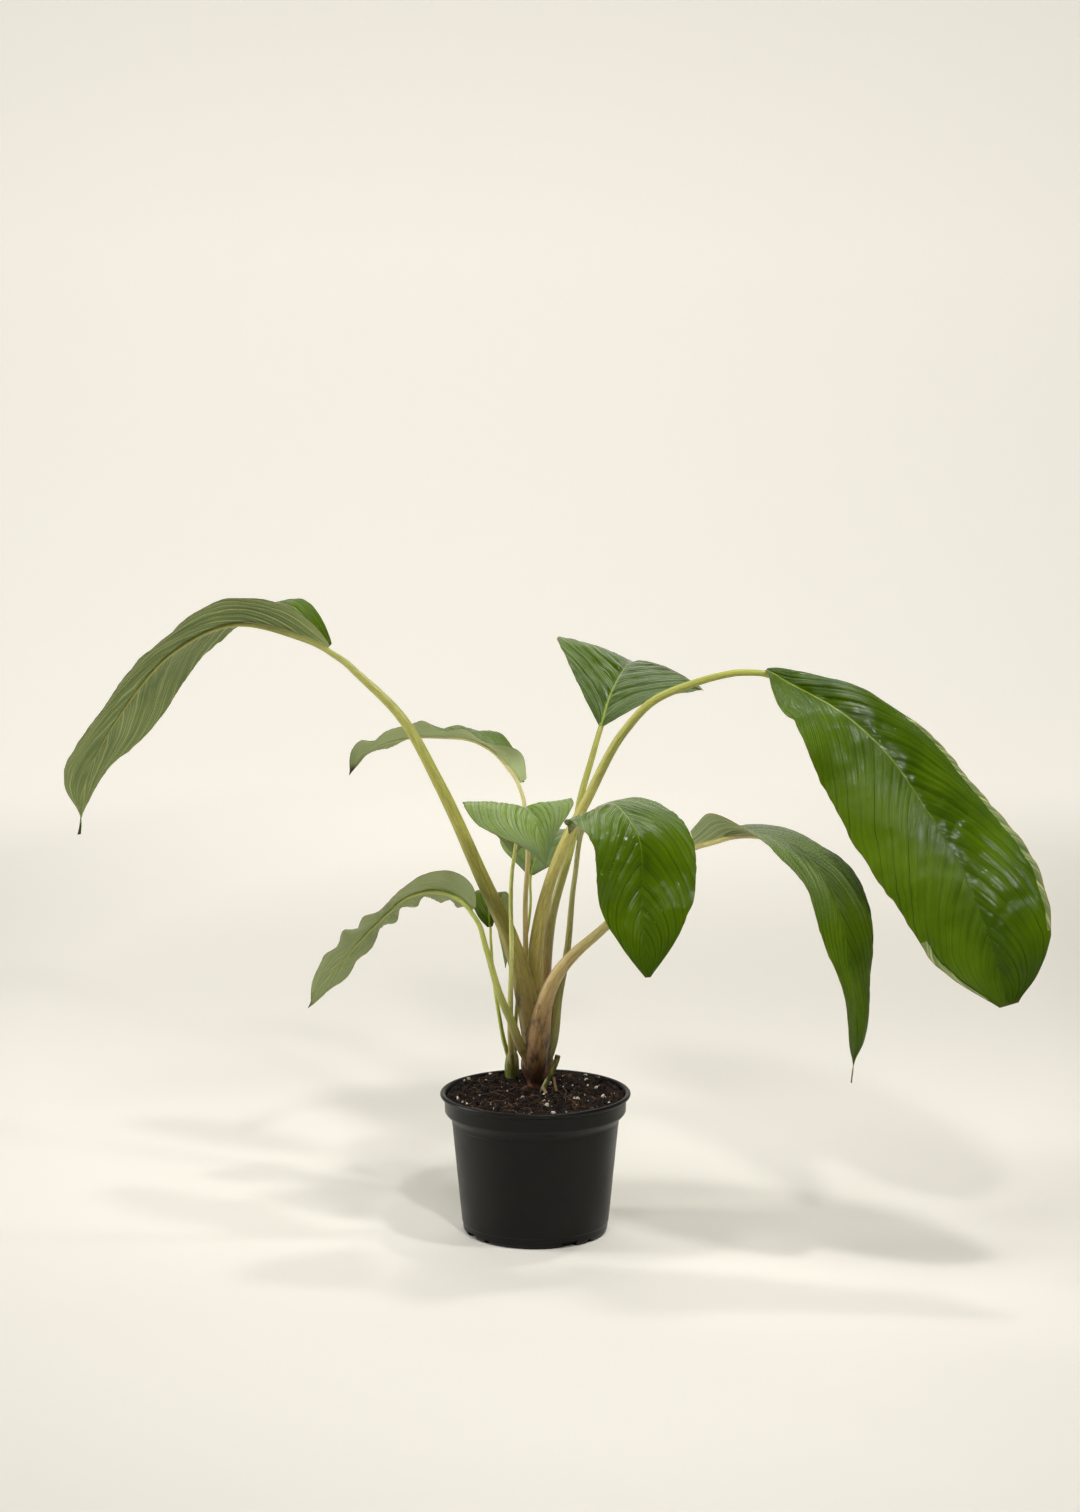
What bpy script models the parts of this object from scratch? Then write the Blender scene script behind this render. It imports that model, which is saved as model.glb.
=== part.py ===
"""Potted bat flower: a young plant in leaf, with ten long-stalked leaves, in a nursery pot.

A leaf is a stalk and a blade along one smooth line. The blade is a sheet on both sides of
the rib: at each station of the rib it has a half width, a lift (the angle at which that half
leaves the rib) and a curl (how far it bends on its way to the margin). The stalk runs on
under the blade as its raised rib. The front of the plant faces -Y, and the origin is the
centre of the pot's flat underside.
"""

import math

import bmesh
import bpy
import numpy as np

MM = 0.001  # all sizes below are in millimetres
GAP = 0.3  # space between pieces that touch

# Pot: a thin moulded nursery pot, 15 cm across its lip
POT_HEIGHT = 113.5
LIP_RADIUS = 76.0
COLLAR_RADIUS = 72.2
COLLAR_BOTTOM = 97.0
WALL_TOP_RADIUS = 66.7
WALL_TOP = 91.5
FOOT_RADIUS = 58.2
FOOT_STEP = 9.0  # height of the small step above the foot
WALL = 1.4
FLOOR = 1.6
POT_SIDES = 44
NOTCH_AZIMUTH = -62.0  # of the first of four drain notches, in degrees
NOTCH_SIZE = (14.0, 13.5, 9.0)  # half of its height is below the floor
SLOT_TURN = 20.0  # a narrow slot stands this many degrees past each notch
SLOT_SIZE = (12.0, 5.0, 6.0)

# Soil: fills the pot, a little higher at the back than at the front
SOIL_FRONT = 107.5
SOIL_RISE = 4.5
SOIL_RISE_FROM = -30.0
SOIL_RISE_OVER = 85.0
SOIL_LUMP = 0.7
SOIL_RINGS = 6

# Crowns: where the stalks meet, each a turned rootstock that stands in a hole in the soil
CROWN_CENTRE = (1.0, 29.0)
CROWN_PROFILE = (
    (0.0, 144.0), (7.0, 142.0), (11.5, 136.0), (13.0, 128.0), (12.0, 121.0),
    (9.5, 115.0), (7.5, 108.0), (6.5, 97.0), (5.0, 86.0), (0.0, 86.0),
)
CROWN_HOLE = 10.5
SIDE_CENTRE = (-19.0, 48.0)
SIDE_PROFILE = (
    (0.0, 136.0), (3.2, 134.0), (5.2, 128.0), (6.0, 120.0), (5.5, 112.0), (4.5, 104.0),
    (3.0, 92.0), (0.0, 92.0),
)
SIDE_HOLE = 6.6
CROWN_SIDES = 16

# Small pieces at the foot of the crown: points along each, and its radius at both ends
STUB = ((5.0, 14.0, 104.0), (6.0, 14.5, 110.0), (9.0, 14.5, 117.0), (13.0, 14.0, 125.0), (16.0, 13.5, 132.0), (18.0, 13.5, 139.0))
STUB_RADIUS = (2.5, 2.2)
ROOTS = {
    "root_right": ((14.5, 18.0, 120.0), (15.5, 15.5, 115.0), (16.5, 14.0, 110.0), (17.0, 13.0, 102.0)),
    "root_front": ((6.5, 10.0, 113.0), (7.5, 7.0, 112.0), (9.0, 3.0, 109.0), (9.5, 1.5, 102.0)),
}
ROOT_RADIUS = (1.3, 0.9)
SMALL_HOLE = 3.8

# Blades
BLADE_THICKNESS = 0.8
BLADE_START = 0.03  # the sheet begins this far along the rib, where it is wide enough
STATIONS = (0.0, 0.07, 0.18, 0.32, 0.46, 0.60, 0.74, 0.88, 1.0)
KEEL_END = 0.8  # the raised rib under the blade ends this far along it
KEEL_TIP = 0.7  # radius there
STALK_POINTS = 14
KEEL_POINTS = 10
SHEATH_POINTS = 9
SQUARE_END = 1.0  # a tube's last piece is this short, so its end is square to its line

# Each leaf: points of the stalk and of the rib, radii along the stalk from its foot, the
# height at which the stalk leaves its crown, and the values of both halves at STATIONS.
# "left" is left of someone who looks along the rib with the upper face on top.
LEAVES = {
    "high_left": dict(
        crown="crown", leaves_at=188.0, girth=(6.0, 8.5, 6.6, 5.4, 4.6, 3.7, 2.4),
        stalk=((0, 28, 117), (-1, 26, 130), (-3, 27, 149), (-7, 28, 181), (-20, 34, 229),
               (-42, 40, 277), (-77, 48, 353), (-109, 57, 408), (-145, 68, 442), (-166, 78, 460)),
        rib=((-199, 92, 472), (-244, 115, 478), (-299, 145, 453), (-349, 170, 397),
             (-380, 185, 342), (-390, 190, 289)),
        left=(3, 24, 40, 50, 53, 50, 40, 22, 0), right=(3, 24, 42, 52, 54, 51, 40, 15, 0),
        lift_left=(65, 65, 45, 14, 3, 0, 6, 25, 10), lift_right=(55, 60, 33, 10, 4, -4, -10, 0, 0),
        curl_left=-16, curl_right=-16, rows=22, columns=5,
    ),
    "mid_left": dict(
        crown="crown", leaves_at=168.0, girth=(3.0, 3.0, 2.3, 2.1, 2.0, 1.9, 1.6),
        stalk=((-1, 32, 117), (-4, 35, 130), (-8, 38, 154), (-9, 42, 178), (-8, 46, 210),
               (-8, 49, 259), (-6, 55, 299), (-9, 62, 334), (-12, 68, 351)),
        rib=((-22, 76, 365), (-32, 82, 375), (-48, 92, 383), (-78, 112, 384), (-104, 130, 381),
             (-128, 146, 373), (-148, 158, 360), (-157, 165, 344)),
        left=(6, 14, 18, 23, 26, 24, 20, 12, 0), right=(4, 10, 18, 24, 26, 24, 18, 8, 0),
        lift_left=(105, 105, 46, 30, 36, 30, 22, 35, 0), lift_right=(20, 30, 30, 20, 20, 14, 4, 0, 0),
        curl_left=-14, curl_right=-14, rows=18, columns=3,
    ),
    "low_left": dict(
        crown="crown", leaves_at=148.0, girth=(3.5, 4.0, 3.6, 3.1, 2.6, 2.2, 1.8),
        stalk=((-2, 24, 117), (-4, 19, 129), (-14, 13, 152), (-19, 11, 167), (-27, 12, 185),
               (-39, 18, 224), (-50, 28, 254)),
        rib=((-57, 32, 261), (-69, 40, 266), (-83, 50, 267), (-102, 62, 261), (-125, 76, 240),
             (-143, 86, 220), (-166, 96, 191), (-189, 106, 157)),
        left=(4, 18, 24, 27, 28, 26, 20, 10, 0), right=(3, 12, 22, 27, 28, 26, 20, 10, 0),
        lift_left=(95, 90, 45, 5, 10, 15, 25, 50, 0), lift_right=(-30, -40, -30, -12, 5, 0, -6, -25, 0),
        curl_left=-10, curl_right=-10, waves=7, wave_height=3.0, rows=28, columns=3,
    ),
    "front_left": dict(
        crown="side_crown", leaves_at=134.0, girth=(2.4, 2.6, 2.2, 1.9, 1.8, 1.7, 1.5),
        stalk=((-19, 47, 117), (-19, 43, 129), (-20, 36, 149), (-20, 24, 182), (-19, 17, 224),
               (-19, 14, 281), (-17, 12, 303)),
        rib=((-14, 6, 323), (-11, -3, 337), (-8, -16, 344), (0, -44, 337), (5, -60, 323),
             (8, -70, 307)),
        left=(2, 10, 25, 38, 42, 36, 24, 10, 0), right=(2, 10, 25, 42, 51, 46, 31, 12, 0),
        lift_left=(20, 20, 20, 20, 15, 5, 0, 0, 0), lift_right=(20, 20, 20, 20, 15, 5, 0, 0, 0),
        curl_left=-20, curl_right=-20, rows=18, columns=4,
    ),
    "back_small": dict(
        crown="side_crown", leaves_at=136.0, girth=(1.8, 1.7, 1.4, 1.3, 1.2, 1.1, 1.0),
        stalk=((-18, 50, 117), (-17, 51, 129), (-16, 53, 156), (-14, 56, 185), (-9, 60, 216),
               (-4, 66, 252), (-4, 70, 275)),
        rib=((-1, 82, 284), (1, 96, 292), (4, 116, 299), (5, 139, 298), (7, 168, 280)),
        left=(2, 12, 24, 32, 34, 30, 20, 8, 0), right=(2, 12, 24, 32, 34, 30, 20, 8, 0),
        lift_left=20, lift_right=20, curl_left=-20, curl_right=-20, rows=14, columns=3,
    ),
    "back_high": dict(
        crown="crown", leaves_at=176.0, girth=(3.6, 4.4, 4.0, 3.5, 3.0, 2.6, 2.2),
        stalk=((2, 33, 117), (4, 38, 129), (6, 48, 160), (8, 53, 188), (13, 56, 241),
               (30, 60, 305), (38, 65, 346), (44, 69, 366), (53, 76, 397)),
        rib=((61, 100, 419), (67, 118, 429), (75, 145, 438), (81, 175, 439), (89, 220, 426),
             (95, 245, 403)),
        left=(2, 12, 26, 46, 64, 60, 42, 16, 0), right=(2, 16, 36, 62, 70, 58, 40, 16, 0),
        lift_left=(20, 20, 20, 25, 30, 25, 10, 0, 0), lift_right=(-5, -5, 0, 5, 5, 0, 0, 0, 0),
        curl_left=-20, curl_right=(0, 0, -10, -30, -45, -40, -20, 0, 0), rows=18, columns=4,
    ),
    "high_right": dict(
        crown="crown", leaves_at=188.0, girth=(6.0, 7.0, 5.6, 4.8, 4.0, 3.3, 2.5),
        stalk=((1, 31, 117), (1, 36, 129), (1, 41, 178), (0, 42, 211), (4, 40, 244), (21, 33, 302),
               (41, 26, 344), (71, 10, 402), (91, 0, 425), (121, -8, 440), (159, -22, 451),
               (177, -28, 453)),
        rib=((195, -36, 444), (235, -58, 423), (269, -78, 392), (294, -95, 356), (316, -112, 320),
             (335, -128, 275), (353, -140, 213)),
        left=(2, 22, 40, 54, 60, 60, 54, 44, 14), right=(3, 30, 45, 56, 60, 60, 53, 42, 6),
        lift_left=(60, 60, 60, 50, 45, 48, 68, 80, 60), lift_right=(20, 0, -12, -36, -45, -52, -56, -58, -40),
        curl_left=(-60, -80, -80, -70, -60, -50, -40, -40, -20), curl_right=-16, rows=24, columns=5,
    ),
    "front_right": dict(
        crown="crown", leaves_at=152.0, girth=(4.2, 4.4, 3.4, 2.7, 2.2, 2.0, 1.8),
        stalk=((4, 29, 117), (8, 26, 129), (13, 26, 145), (18, 27, 181), (25, 24, 219),
               (31, 14, 281), (41, 0, 333)),
        rib=((48, -8, 343), (59, -22, 348), (70, -45, 342), (80, -62, 325), (82, -72, 300),
             (82, -80, 273), (86, -90, 224)),
        left=(2, 22, 38, 46, 47, 44, 36, 23, 2), right=(4, 36, 44, 46, 47, 43, 33, 18, 2),
        lift_left=(30, 20, 6, 4, 4, 10, 24, 15, 0), lift_right=(-50, -45, -14, 4, 16, 14, -2, 2, 0),
        curl_left=-12, curl_right=-12, rows=20, columns=4,
    ),
    "low_right": dict(
        crown="crown", leaves_at=182.0, girth=(5.0, 9.3, 6.2, 4.4, 3.3, 2.6, 2.0),
        stalk=((1, 24, 117), (1, 18, 130), (2, 14, 151), (7, 12, 185), (12, 10, 201), (26, 6, 217),
               (51, -4, 243), (90, -14, 283), (123, -26, 315)),
        rib=((138, -33, 321), (155, -41, 327), (173, -49, 328), (193, -60, 323), (208, -69, 313),
             (222, -78, 298), (231, -87, 276), (237, -94, 248), (242, -100, 217), (243, -106, 179),
             (240, -108, 146)),
        left=(2, 18, 27, 34, 36, 30, 25, 12, 0), right=(12, 21, 22, 33, 35, 31, 24, 12, 0),
        lift_left=(20, 20, 12, 5, 12, 20, 5, 15, 0), lift_right=(110, 80, 25, 8, 8, 4, 14, 10, 0),
        curl_left=-10, curl_right=-10, rows=24, columns=4,
    ),
    "small_left": dict(
        crown="side_crown", leaves_at=136.0, girth=(1.8, 1.9, 1.6, 1.5, 1.3, 1.2, 1.0),
        stalk=((-20, 49, 117), (-22, 49, 129), (-26, 50, 144), (-29, 52, 160), (-34, 57, 192),
               (-37, 66, 233)),
        rib=((-38, 70, 245), (-38, 78, 253), (-35, 88, 257), (-30, 98, 252), (-27, 104, 236),
             (-25, 108, 214), (-25, 110, 190)),
        left=(2, 8, 13, 14, 11, 8, 6, 3, 0), right=(2, 6, 9, 10, 8, 6, 5, 3, 0),
        lift_left=20, lift_right=20, curl_left=-20, curl_right=-20, rows=14, columns=2,
    ),
}

# Colours (linear), roughness
FINISHES = {
    "pot_plastic": ((0.012, 0.012, 0.011), 0.42),
    "soil": ((0.035, 0.019, 0.011), 0.95),
    "brown_crown": ((0.13, 0.075, 0.035), 0.55),
    "green_crown": ((0.13, 0.16, 0.04), 0.5),
    "cut_stub": ((0.33, 0.33, 0.12), 0.6),
    "root": ((0.33, 0.22, 0.13), 0.8),
    "stalk": ((0.34, 0.36, 0.09), 0.4),
    "blade": ((0.06, 0.13, 0.012), 0.35),
}


def clear_scene():
    for old in list(bpy.data.objects):
        bpy.data.objects.remove(old, do_unlink=True)


def collection(name):
    made = bpy.data.collections.new(name)
    bpy.context.scene.collection.children.link(made)
    return made


def finish_of(name):
    material = bpy.data.materials.get(name)
    if material is None:
        material = bpy.data.materials.new(name)
        material.use_nodes = True
        shader = material.node_tree.nodes["Principled BSDF"]
        colour, roughness = FINISHES[name]
        shader.inputs["Base Color"].default_value = (*colour, 1.0)
        shader.inputs["Roughness"].default_value = roughness
        shader.inputs["Metallic"].default_value = 0.0
        material.diffuse_color = (*colour, 1.0)
    return material


def new_object(name, data, where, finish=None):
    made = bpy.data.objects.new(name, data)
    where.objects.link(made)
    if finish:
        data.materials.append(finish_of(finish))
    return made


def smooth_values(at, values, where):
    """Values on the smooth curve through (at, values): cubic pieces with weighted slopes."""
    at = np.asarray(at, float)
    values = np.asarray(values, float).reshape(len(at), -1)
    step = np.diff(at)[:, None]
    slope = np.diff(values, axis=0) / step
    lean = np.empty_like(values)
    lean[0], lean[-1] = slope[0], slope[-1]
    lean[1:-1] = (slope[:-1] * step[1:] + slope[1:] * step[:-1]) / (step[:-1] + step[1:])
    piece = np.clip(np.searchsorted(at, where, side="right") - 1, 0, len(at) - 2)
    u = ((where - at[piece]) / step[piece, 0])[:, None]
    start = (2 * u**3 - 3 * u**2 + 1) * values[piece] + (u**3 - 2 * u**2 + u) * step[piece] * lean[piece]
    end = (3 * u**2 - 2 * u**3) * values[piece + 1] + (u**3 - u**2) * step[piece] * lean[piece + 1]
    return start + end


class LeafLine:
    """The smooth line of a leaf, from the foot of its stalk to the tip of its blade."""

    def __init__(self, leaf):
        points = np.array(leaf["stalk"] + leaf["rib"], float)
        chord = np.concatenate(([0.0], np.cumsum(np.linalg.norm(np.diff(points, axis=0), axis=1))))
        steps = np.linspace(0.0, chord[-1], 1200)
        self.places = smooth_values(chord, points, steps)
        gaps = np.linalg.norm(np.diff(self.places, axis=0), axis=1)
        self.run = np.concatenate(([0.0], np.cumsum(gaps)))
        self.stalk_length = np.interp(chord[len(leaf["stalk"]) - 1], steps, self.run)
        self.length = self.run[-1]
        along = points[-1, :2] - np.array(leaf["stalk"][-1][:2], float)
        along /= np.linalg.norm(along)
        self.left = np.array((-along[1], along[0], 0.0))

    def at(self, run):
        """Place, direction, left and up at the given lengths along the line."""
        place = np.stack([np.interp(run, self.run, self.places[:, k]) for k in range(3)], axis=1)
        turn = np.gradient(self.places, self.run, axis=0)
        ahead = np.stack([np.interp(run, self.run, turn[:, k]) for k in range(3)], axis=1)
        ahead /= np.linalg.norm(ahead, axis=1)[:, None]
        left = self.left - (ahead @ self.left)[:, None] * ahead
        left /= np.linalg.norm(left, axis=1)[:, None]
        return place, ahead, left, np.cross(ahead, left)

    def run_at_height(self, height):
        """Length along the line where the stalk first rises past a height."""
        past = int(np.argmax(self.places[:, 2] > height))
        return np.interp(height, self.places[past - 1:past + 1, 2], self.run[past - 1:past + 1])


def station_values(leaf, name, where):
    value = leaf[name]
    if np.ndim(value) == 0:
        return np.full(len(where), float(value))
    return smooth_values(STATIONS, value, where)[:, 0]


def blade_points(leaf, line, rows, across):
    """Points of the sheet: rows are fractions of the rib, across runs from -1 to 1 (left).

    Each half is an arc of constant bend: its direction starts at the lift and turns by the
    curl, and a sine wave that grows with the square of the distance ruffles the margin.
    """
    run = line.stalk_length + rows * (line.length - line.stalk_length)
    place, _, left, up = line.at(run)
    points = np.empty((len(rows), len(across), 3))
    for side, sign in (("left", 1.0), ("right", -1.0)):
        part = np.where(across * sign >= 0)[0]
        out = np.abs(across[part])[None, :]
        width = np.maximum(station_values(leaf, side, rows), 0.0)[:, None]
        lift = np.radians(station_values(leaf, "lift_" + side, rows))[:, None]
        curl = np.radians(station_values(leaf, "curl_" + side, rows))[:, None] - 1e-6
        turned = lift + curl * out
        sideways = width * (np.sin(turned) - np.sin(lift)) / curl
        upwards = width * (np.cos(lift) - np.cos(turned)) / curl
        ruffle = leaf.get("wave_height", 0.0) * np.sqrt(np.sin(np.pi * np.clip(rows, 0.0, 1.0)))
        ruffle = (ruffle * np.sin(2 * np.pi * leaf.get("waves", 0) * rows))[:, None] * out**2
        sideways = sideways - np.sin(turned) * ruffle
        upwards = upwards + np.cos(turned) * ruffle
        points[:, part] = (
            place[:, None]
            + left[:, None] * (sign * sideways)[..., None]
            + up[:, None] * upwards[..., None]
        )
    return points


def blade_object(name, leaf, line, where):
    """A thin triangulated sheet with a thickness, its last row drawn together at the tip."""
    rows = np.linspace(BLADE_START, 1.0, leaf["rows"] + 1)
    across = np.linspace(-1.0, 1.0, 2 * leaf["columns"] + 1)
    points = blade_points(leaf, line, rows, across)
    pointed = leaf["left"][-1] == 0
    sheet = bmesh.new()
    grid = [[sheet.verts.new(p * MM) for p in row] for row in points[:-1]]
    if pointed:
        tip = sheet.verts.new(points[-1, leaf["columns"]] * MM)
        grid.append([tip] * len(across))
    else:
        grid.append([sheet.verts.new(p * MM) for p in points[-1]])
    for low, high in zip(grid[:-1], grid[1:]):
        for k in range(len(across) - 1):
            corners = (low[k], low[k + 1], high[k + 1], high[k])
            outer_first = k >= leaf["columns"]
            if high[k] is high[k + 1]:
                sheet.faces.new(corners[:3])
            elif outer_first:
                sheet.faces.new((corners[0], corners[1], corners[2]))
                sheet.faces.new((corners[0], corners[2], corners[3]))
            else:
                sheet.faces.new((corners[0], corners[1], corners[3]))
                sheet.faces.new((corners[1], corners[2], corners[3]))
    bmesh.ops.reverse_faces(sheet, faces=sheet.faces)
    mesh = bpy.data.meshes.new(name)
    sheet.to_mesh(mesh)
    sheet.free()
    mesh.shade_smooth()
    blade = new_object(name, mesh, where, "blade")
    solid = blade.modifiers.new("thickness", "SOLIDIFY")
    solid.thickness = BLADE_THICKNESS * MM
    solid.offset = 0.0
    return blade


def tube(name, points, radii, where, finish=None):
    """A round tube as a curve: a straight-sided spline with a radius at each point."""
    curve = bpy.data.curves.new(name, "CURVE")
    curve.dimensions = "3D"
    curve.bevel_depth = MM
    curve.bevel_resolution = 2
    curve.use_fill_caps = True
    curve.twist_mode = "MINIMUM"
    spline = curve.splines.new("POLY")
    spline.points.add(len(points) - 1)
    for point, place, radius in zip(spline.points, points, radii):
        point.co = (*(np.asarray(place, float) * MM), 1.0)
        point.radius = radius
    return new_object(name, curve, where, finish)


def as_mesh(piece):
    """The same piece as a mesh object in place, with a tube's loose caps welded on."""
    graph = bpy.context.evaluated_depsgraph_get()
    mesh = bpy.data.meshes.new_from_object(piece.evaluated_get(graph))
    shell = bmesh.new()
    shell.from_mesh(mesh)
    bmesh.ops.remove_doubles(shell, verts=shell.verts, dist=0.00001)
    bmesh.ops.triangulate(shell, faces=shell.faces)
    bmesh.ops.recalc_face_normals(shell, faces=shell.faces)
    shell.to_mesh(mesh)
    shell.free()
    mesh.transform(piece.matrix_world)
    where = piece.users_collection[0]
    name = piece.name
    bpy.data.objects.remove(piece, do_unlink=True)
    return new_object(name, mesh, where)


def stalk_radius(leaf, line, run):
    along = np.linspace(0.0, line.stalk_length, len(leaf["girth"]))
    return smooth_values(along, leaf["girth"], np.minimum(run, line.stalk_length))[:, 0]


def sheath(name, leaf, line, where):
    """The foot of a stalk, which is fused into its crown and ends square to its line."""
    end = line.run_at_height(leaf["leaves_at"])
    run = np.append(np.linspace(0.0, end - SQUARE_END, SHEATH_POINTS), end)
    return as_mesh(tube(name + "_sheath", line.at(run)[0], stalk_radius(leaf, line, run), where))


def stalk_object(name, leaf, line, where):
    """The free stalk and, under the blade, the raised rib that it runs on as."""
    start = line.run_at_height(leaf["leaves_at"]) + GAP
    rib_length = line.length - line.stalk_length
    free = np.append(start, np.linspace(start + SQUARE_END, line.stalk_length, STALK_POINTS))
    keel = line.stalk_length + rib_length * np.linspace(0.0, KEEL_END, KEEL_POINTS)
    run = np.concatenate((free, keel[1:]))
    place, _, left, up = line.at(run)
    along_rib = np.clip((run - line.stalk_length) / rib_length, 0.0, 1.0)
    top_radius = leaf["girth"][-1]
    taper = np.interp(along_rib, (0.0, KEEL_END), (1.0, KEEL_TIP / top_radius))
    radius = stalk_radius(leaf, line, run) * taper
    half_turn = 0.5 * (station_values(leaf, "lift_left", along_rib) - station_values(leaf, "lift_right", along_rib))
    half_turn = np.radians(half_turn)[:, None]
    under = left * np.sin(half_turn) - up * np.cos(half_turn)
    drop = radius + BLADE_THICKNESS / 2 + 2.0 * GAP
    ramp = np.clip(1.0 - (line.stalk_length - run) / (10.0 * top_radius), 0.0, 1.0)
    ramp = ramp**2 * (3.0 - 2.0 * ramp)
    points = place + under * (drop * ramp)[:, None]
    return tube(name, points, radius, where, "stalk")


def turned(name, profile, sides, where, finish=None):
    """A solid of revolution: the profile runs from the axis back to the axis, outside down."""
    mesh = bpy.data.meshes.new(name)
    mesh.from_pydata([(r * MM, 0.0, z * MM) for r, z in profile], [(k, k + 1) for k in range(len(profile) - 1)], [])
    made = new_object(name, mesh, where, finish)
    screw = made.modifiers.new("turn", "SCREW")
    screw.axis = "Z"
    screw.steps = sides
    screw.render_steps = sides
    screw.use_merge_vertices = True
    screw.merge_threshold = 0.00001
    screw.use_normal_calculate = True
    return made


def box_cutter(name, size, radius, azimuth, where):
    bpy.ops.mesh.primitive_cube_add(size=1.0)
    cutter = bpy.context.active_object
    cutter.name = name
    for owner in list(cutter.users_collection):
        owner.objects.unlink(cutter)
    where.objects.link(cutter)
    angle = math.radians(azimuth)
    cutter.scale = [side * MM for side in size]
    cutter.location = (radius * MM * math.cos(angle), radius * MM * math.sin(angle), 0.0)
    cutter.rotation_euler = (0.0, 0.0, angle)
    hide_cutter(cutter)
    return cutter


def round_cutter(name, centre, radius, low, high, where):
    bpy.ops.mesh.primitive_cylinder_add(vertices=CROWN_SIDES, radius=radius * MM, depth=(high - low) * MM)
    cutter = bpy.context.active_object
    cutter.name = name
    for owner in list(cutter.users_collection):
        owner.objects.unlink(cutter)
    where.objects.link(cutter)
    cutter.location = (centre[0] * MM, centre[1] * MM, (low + high) / 2 * MM)
    hide_cutter(cutter)
    return cutter


def hide_cutter(cutter):
    cutter.hide_render = True
    cutter.display_type = "WIRE"


def cut(piece, cutters):
    for cutter in cutters:
        step = piece.modifiers.new("cut_" + cutter.name, "BOOLEAN")
        step.operation = "DIFFERENCE"
        step.solver = "EXACT"
        step.object = cutter


def fuse(name, body, others, finish):
    """One Boolean union of the body and the collection of the others, which are then removed."""
    step = body.modifiers.new("fuse", "BOOLEAN")
    step.operation = "UNION"
    step.solver = "EXACT"
    step.operand_type = "COLLECTION"
    step.collection = others
    graph = bpy.context.evaluated_depsgraph_get()
    mesh = bpy.data.meshes.new_from_object(body.evaluated_get(graph))
    mesh.materials.clear()
    where = body.users_collection[0]
    bpy.data.objects.remove(body, do_unlink=True)
    for other in list(others.objects):
        bpy.data.objects.remove(other, do_unlink=True)
    bpy.data.collections.remove(others)
    return new_object(name, mesh, where, finish)


def wall_radius(height, inset=0.0):
    """Outer radius of the tapered wall at a height, less an inset."""
    share = (height - FOOT_STEP) / (WALL_TOP - FOOT_STEP)
    return FOOT_RADIUS + 0.5 + (WALL_TOP_RADIUS - FOOT_RADIUS - 0.5) * share - inset


def make_pot(where, cutters):
    inner_top = WALL_TOP - 1.0
    profile = (
        (0.0, FLOOR), (FOOT_RADIUS - 4.0, FLOOR), (wall_radius(4.0, WALL), 4.0),
        (wall_radius(inner_top, WALL), inner_top), (COLLAR_RADIUS - WALL, COLLAR_BOTTOM - 0.5),
        (COLLAR_RADIUS - WALL + 0.2, POT_HEIGHT - 3.0), (COLLAR_RADIUS, POT_HEIGHT - 0.9),
        (LIP_RADIUS - 2.0, POT_HEIGHT), (LIP_RADIUS - 0.6, POT_HEIGHT - 0.6), (LIP_RADIUS, POT_HEIGHT - 2.0),
        (LIP_RADIUS - 0.6, POT_HEIGHT - 3.4), (LIP_RADIUS - 2.0, POT_HEIGHT - 4.2),
        (COLLAR_RADIUS + 0.3, POT_HEIGHT - 5.0), (COLLAR_RADIUS, COLLAR_BOTTOM + 1.2),
        (COLLAR_RADIUS - 0.7, COLLAR_BOTTOM), (WALL_TOP_RADIUS + 0.6, WALL_TOP + 0.8),
        (WALL_TOP_RADIUS, WALL_TOP - 0.8), (wall_radius(FOOT_STEP), FOOT_STEP),
        (FOOT_RADIUS, FOOT_STEP - 0.8), (FOOT_RADIUS - 0.5, 3.0), (FOOT_RADIUS - 1.8, 0.8),
        (FOOT_RADIUS - 4.0, 0.0), (0.0, 0.0),
    )
    pot = turned("pot", profile, POT_SIDES, where, "pot_plastic")
    holes = []
    for k in range(4):
        azimuth = NOTCH_AZIMUTH + 90.0 * k
        holes.append(box_cutter(f"notch_{k}", NOTCH_SIZE, FOOT_RADIUS - 2.0, azimuth, cutters))
        holes.append(box_cutter(f"slot_{k}", SLOT_SIZE, FOOT_RADIUS - 1.0, azimuth + SLOT_TURN, cutters))
    cut(pot, holes)
    pot.data.shade_smooth()


def soil_height(x, y):
    """The soil rises smoothly towards the back and has low lumps."""
    share = np.clip((y - SOIL_RISE_FROM) / SOIL_RISE_OVER, 0.0, 1.0)
    rise = SOIL_RISE * share**2 * (3.0 - 2.0 * share)
    lumps = math.sin(0.19 * x + 0.8) * math.cos(0.23 * y - 0.4) + 0.6 * math.sin(0.31 * y + 0.27 * x)
    return SOIL_FRONT + rise + SOIL_LUMP * lumps


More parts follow.
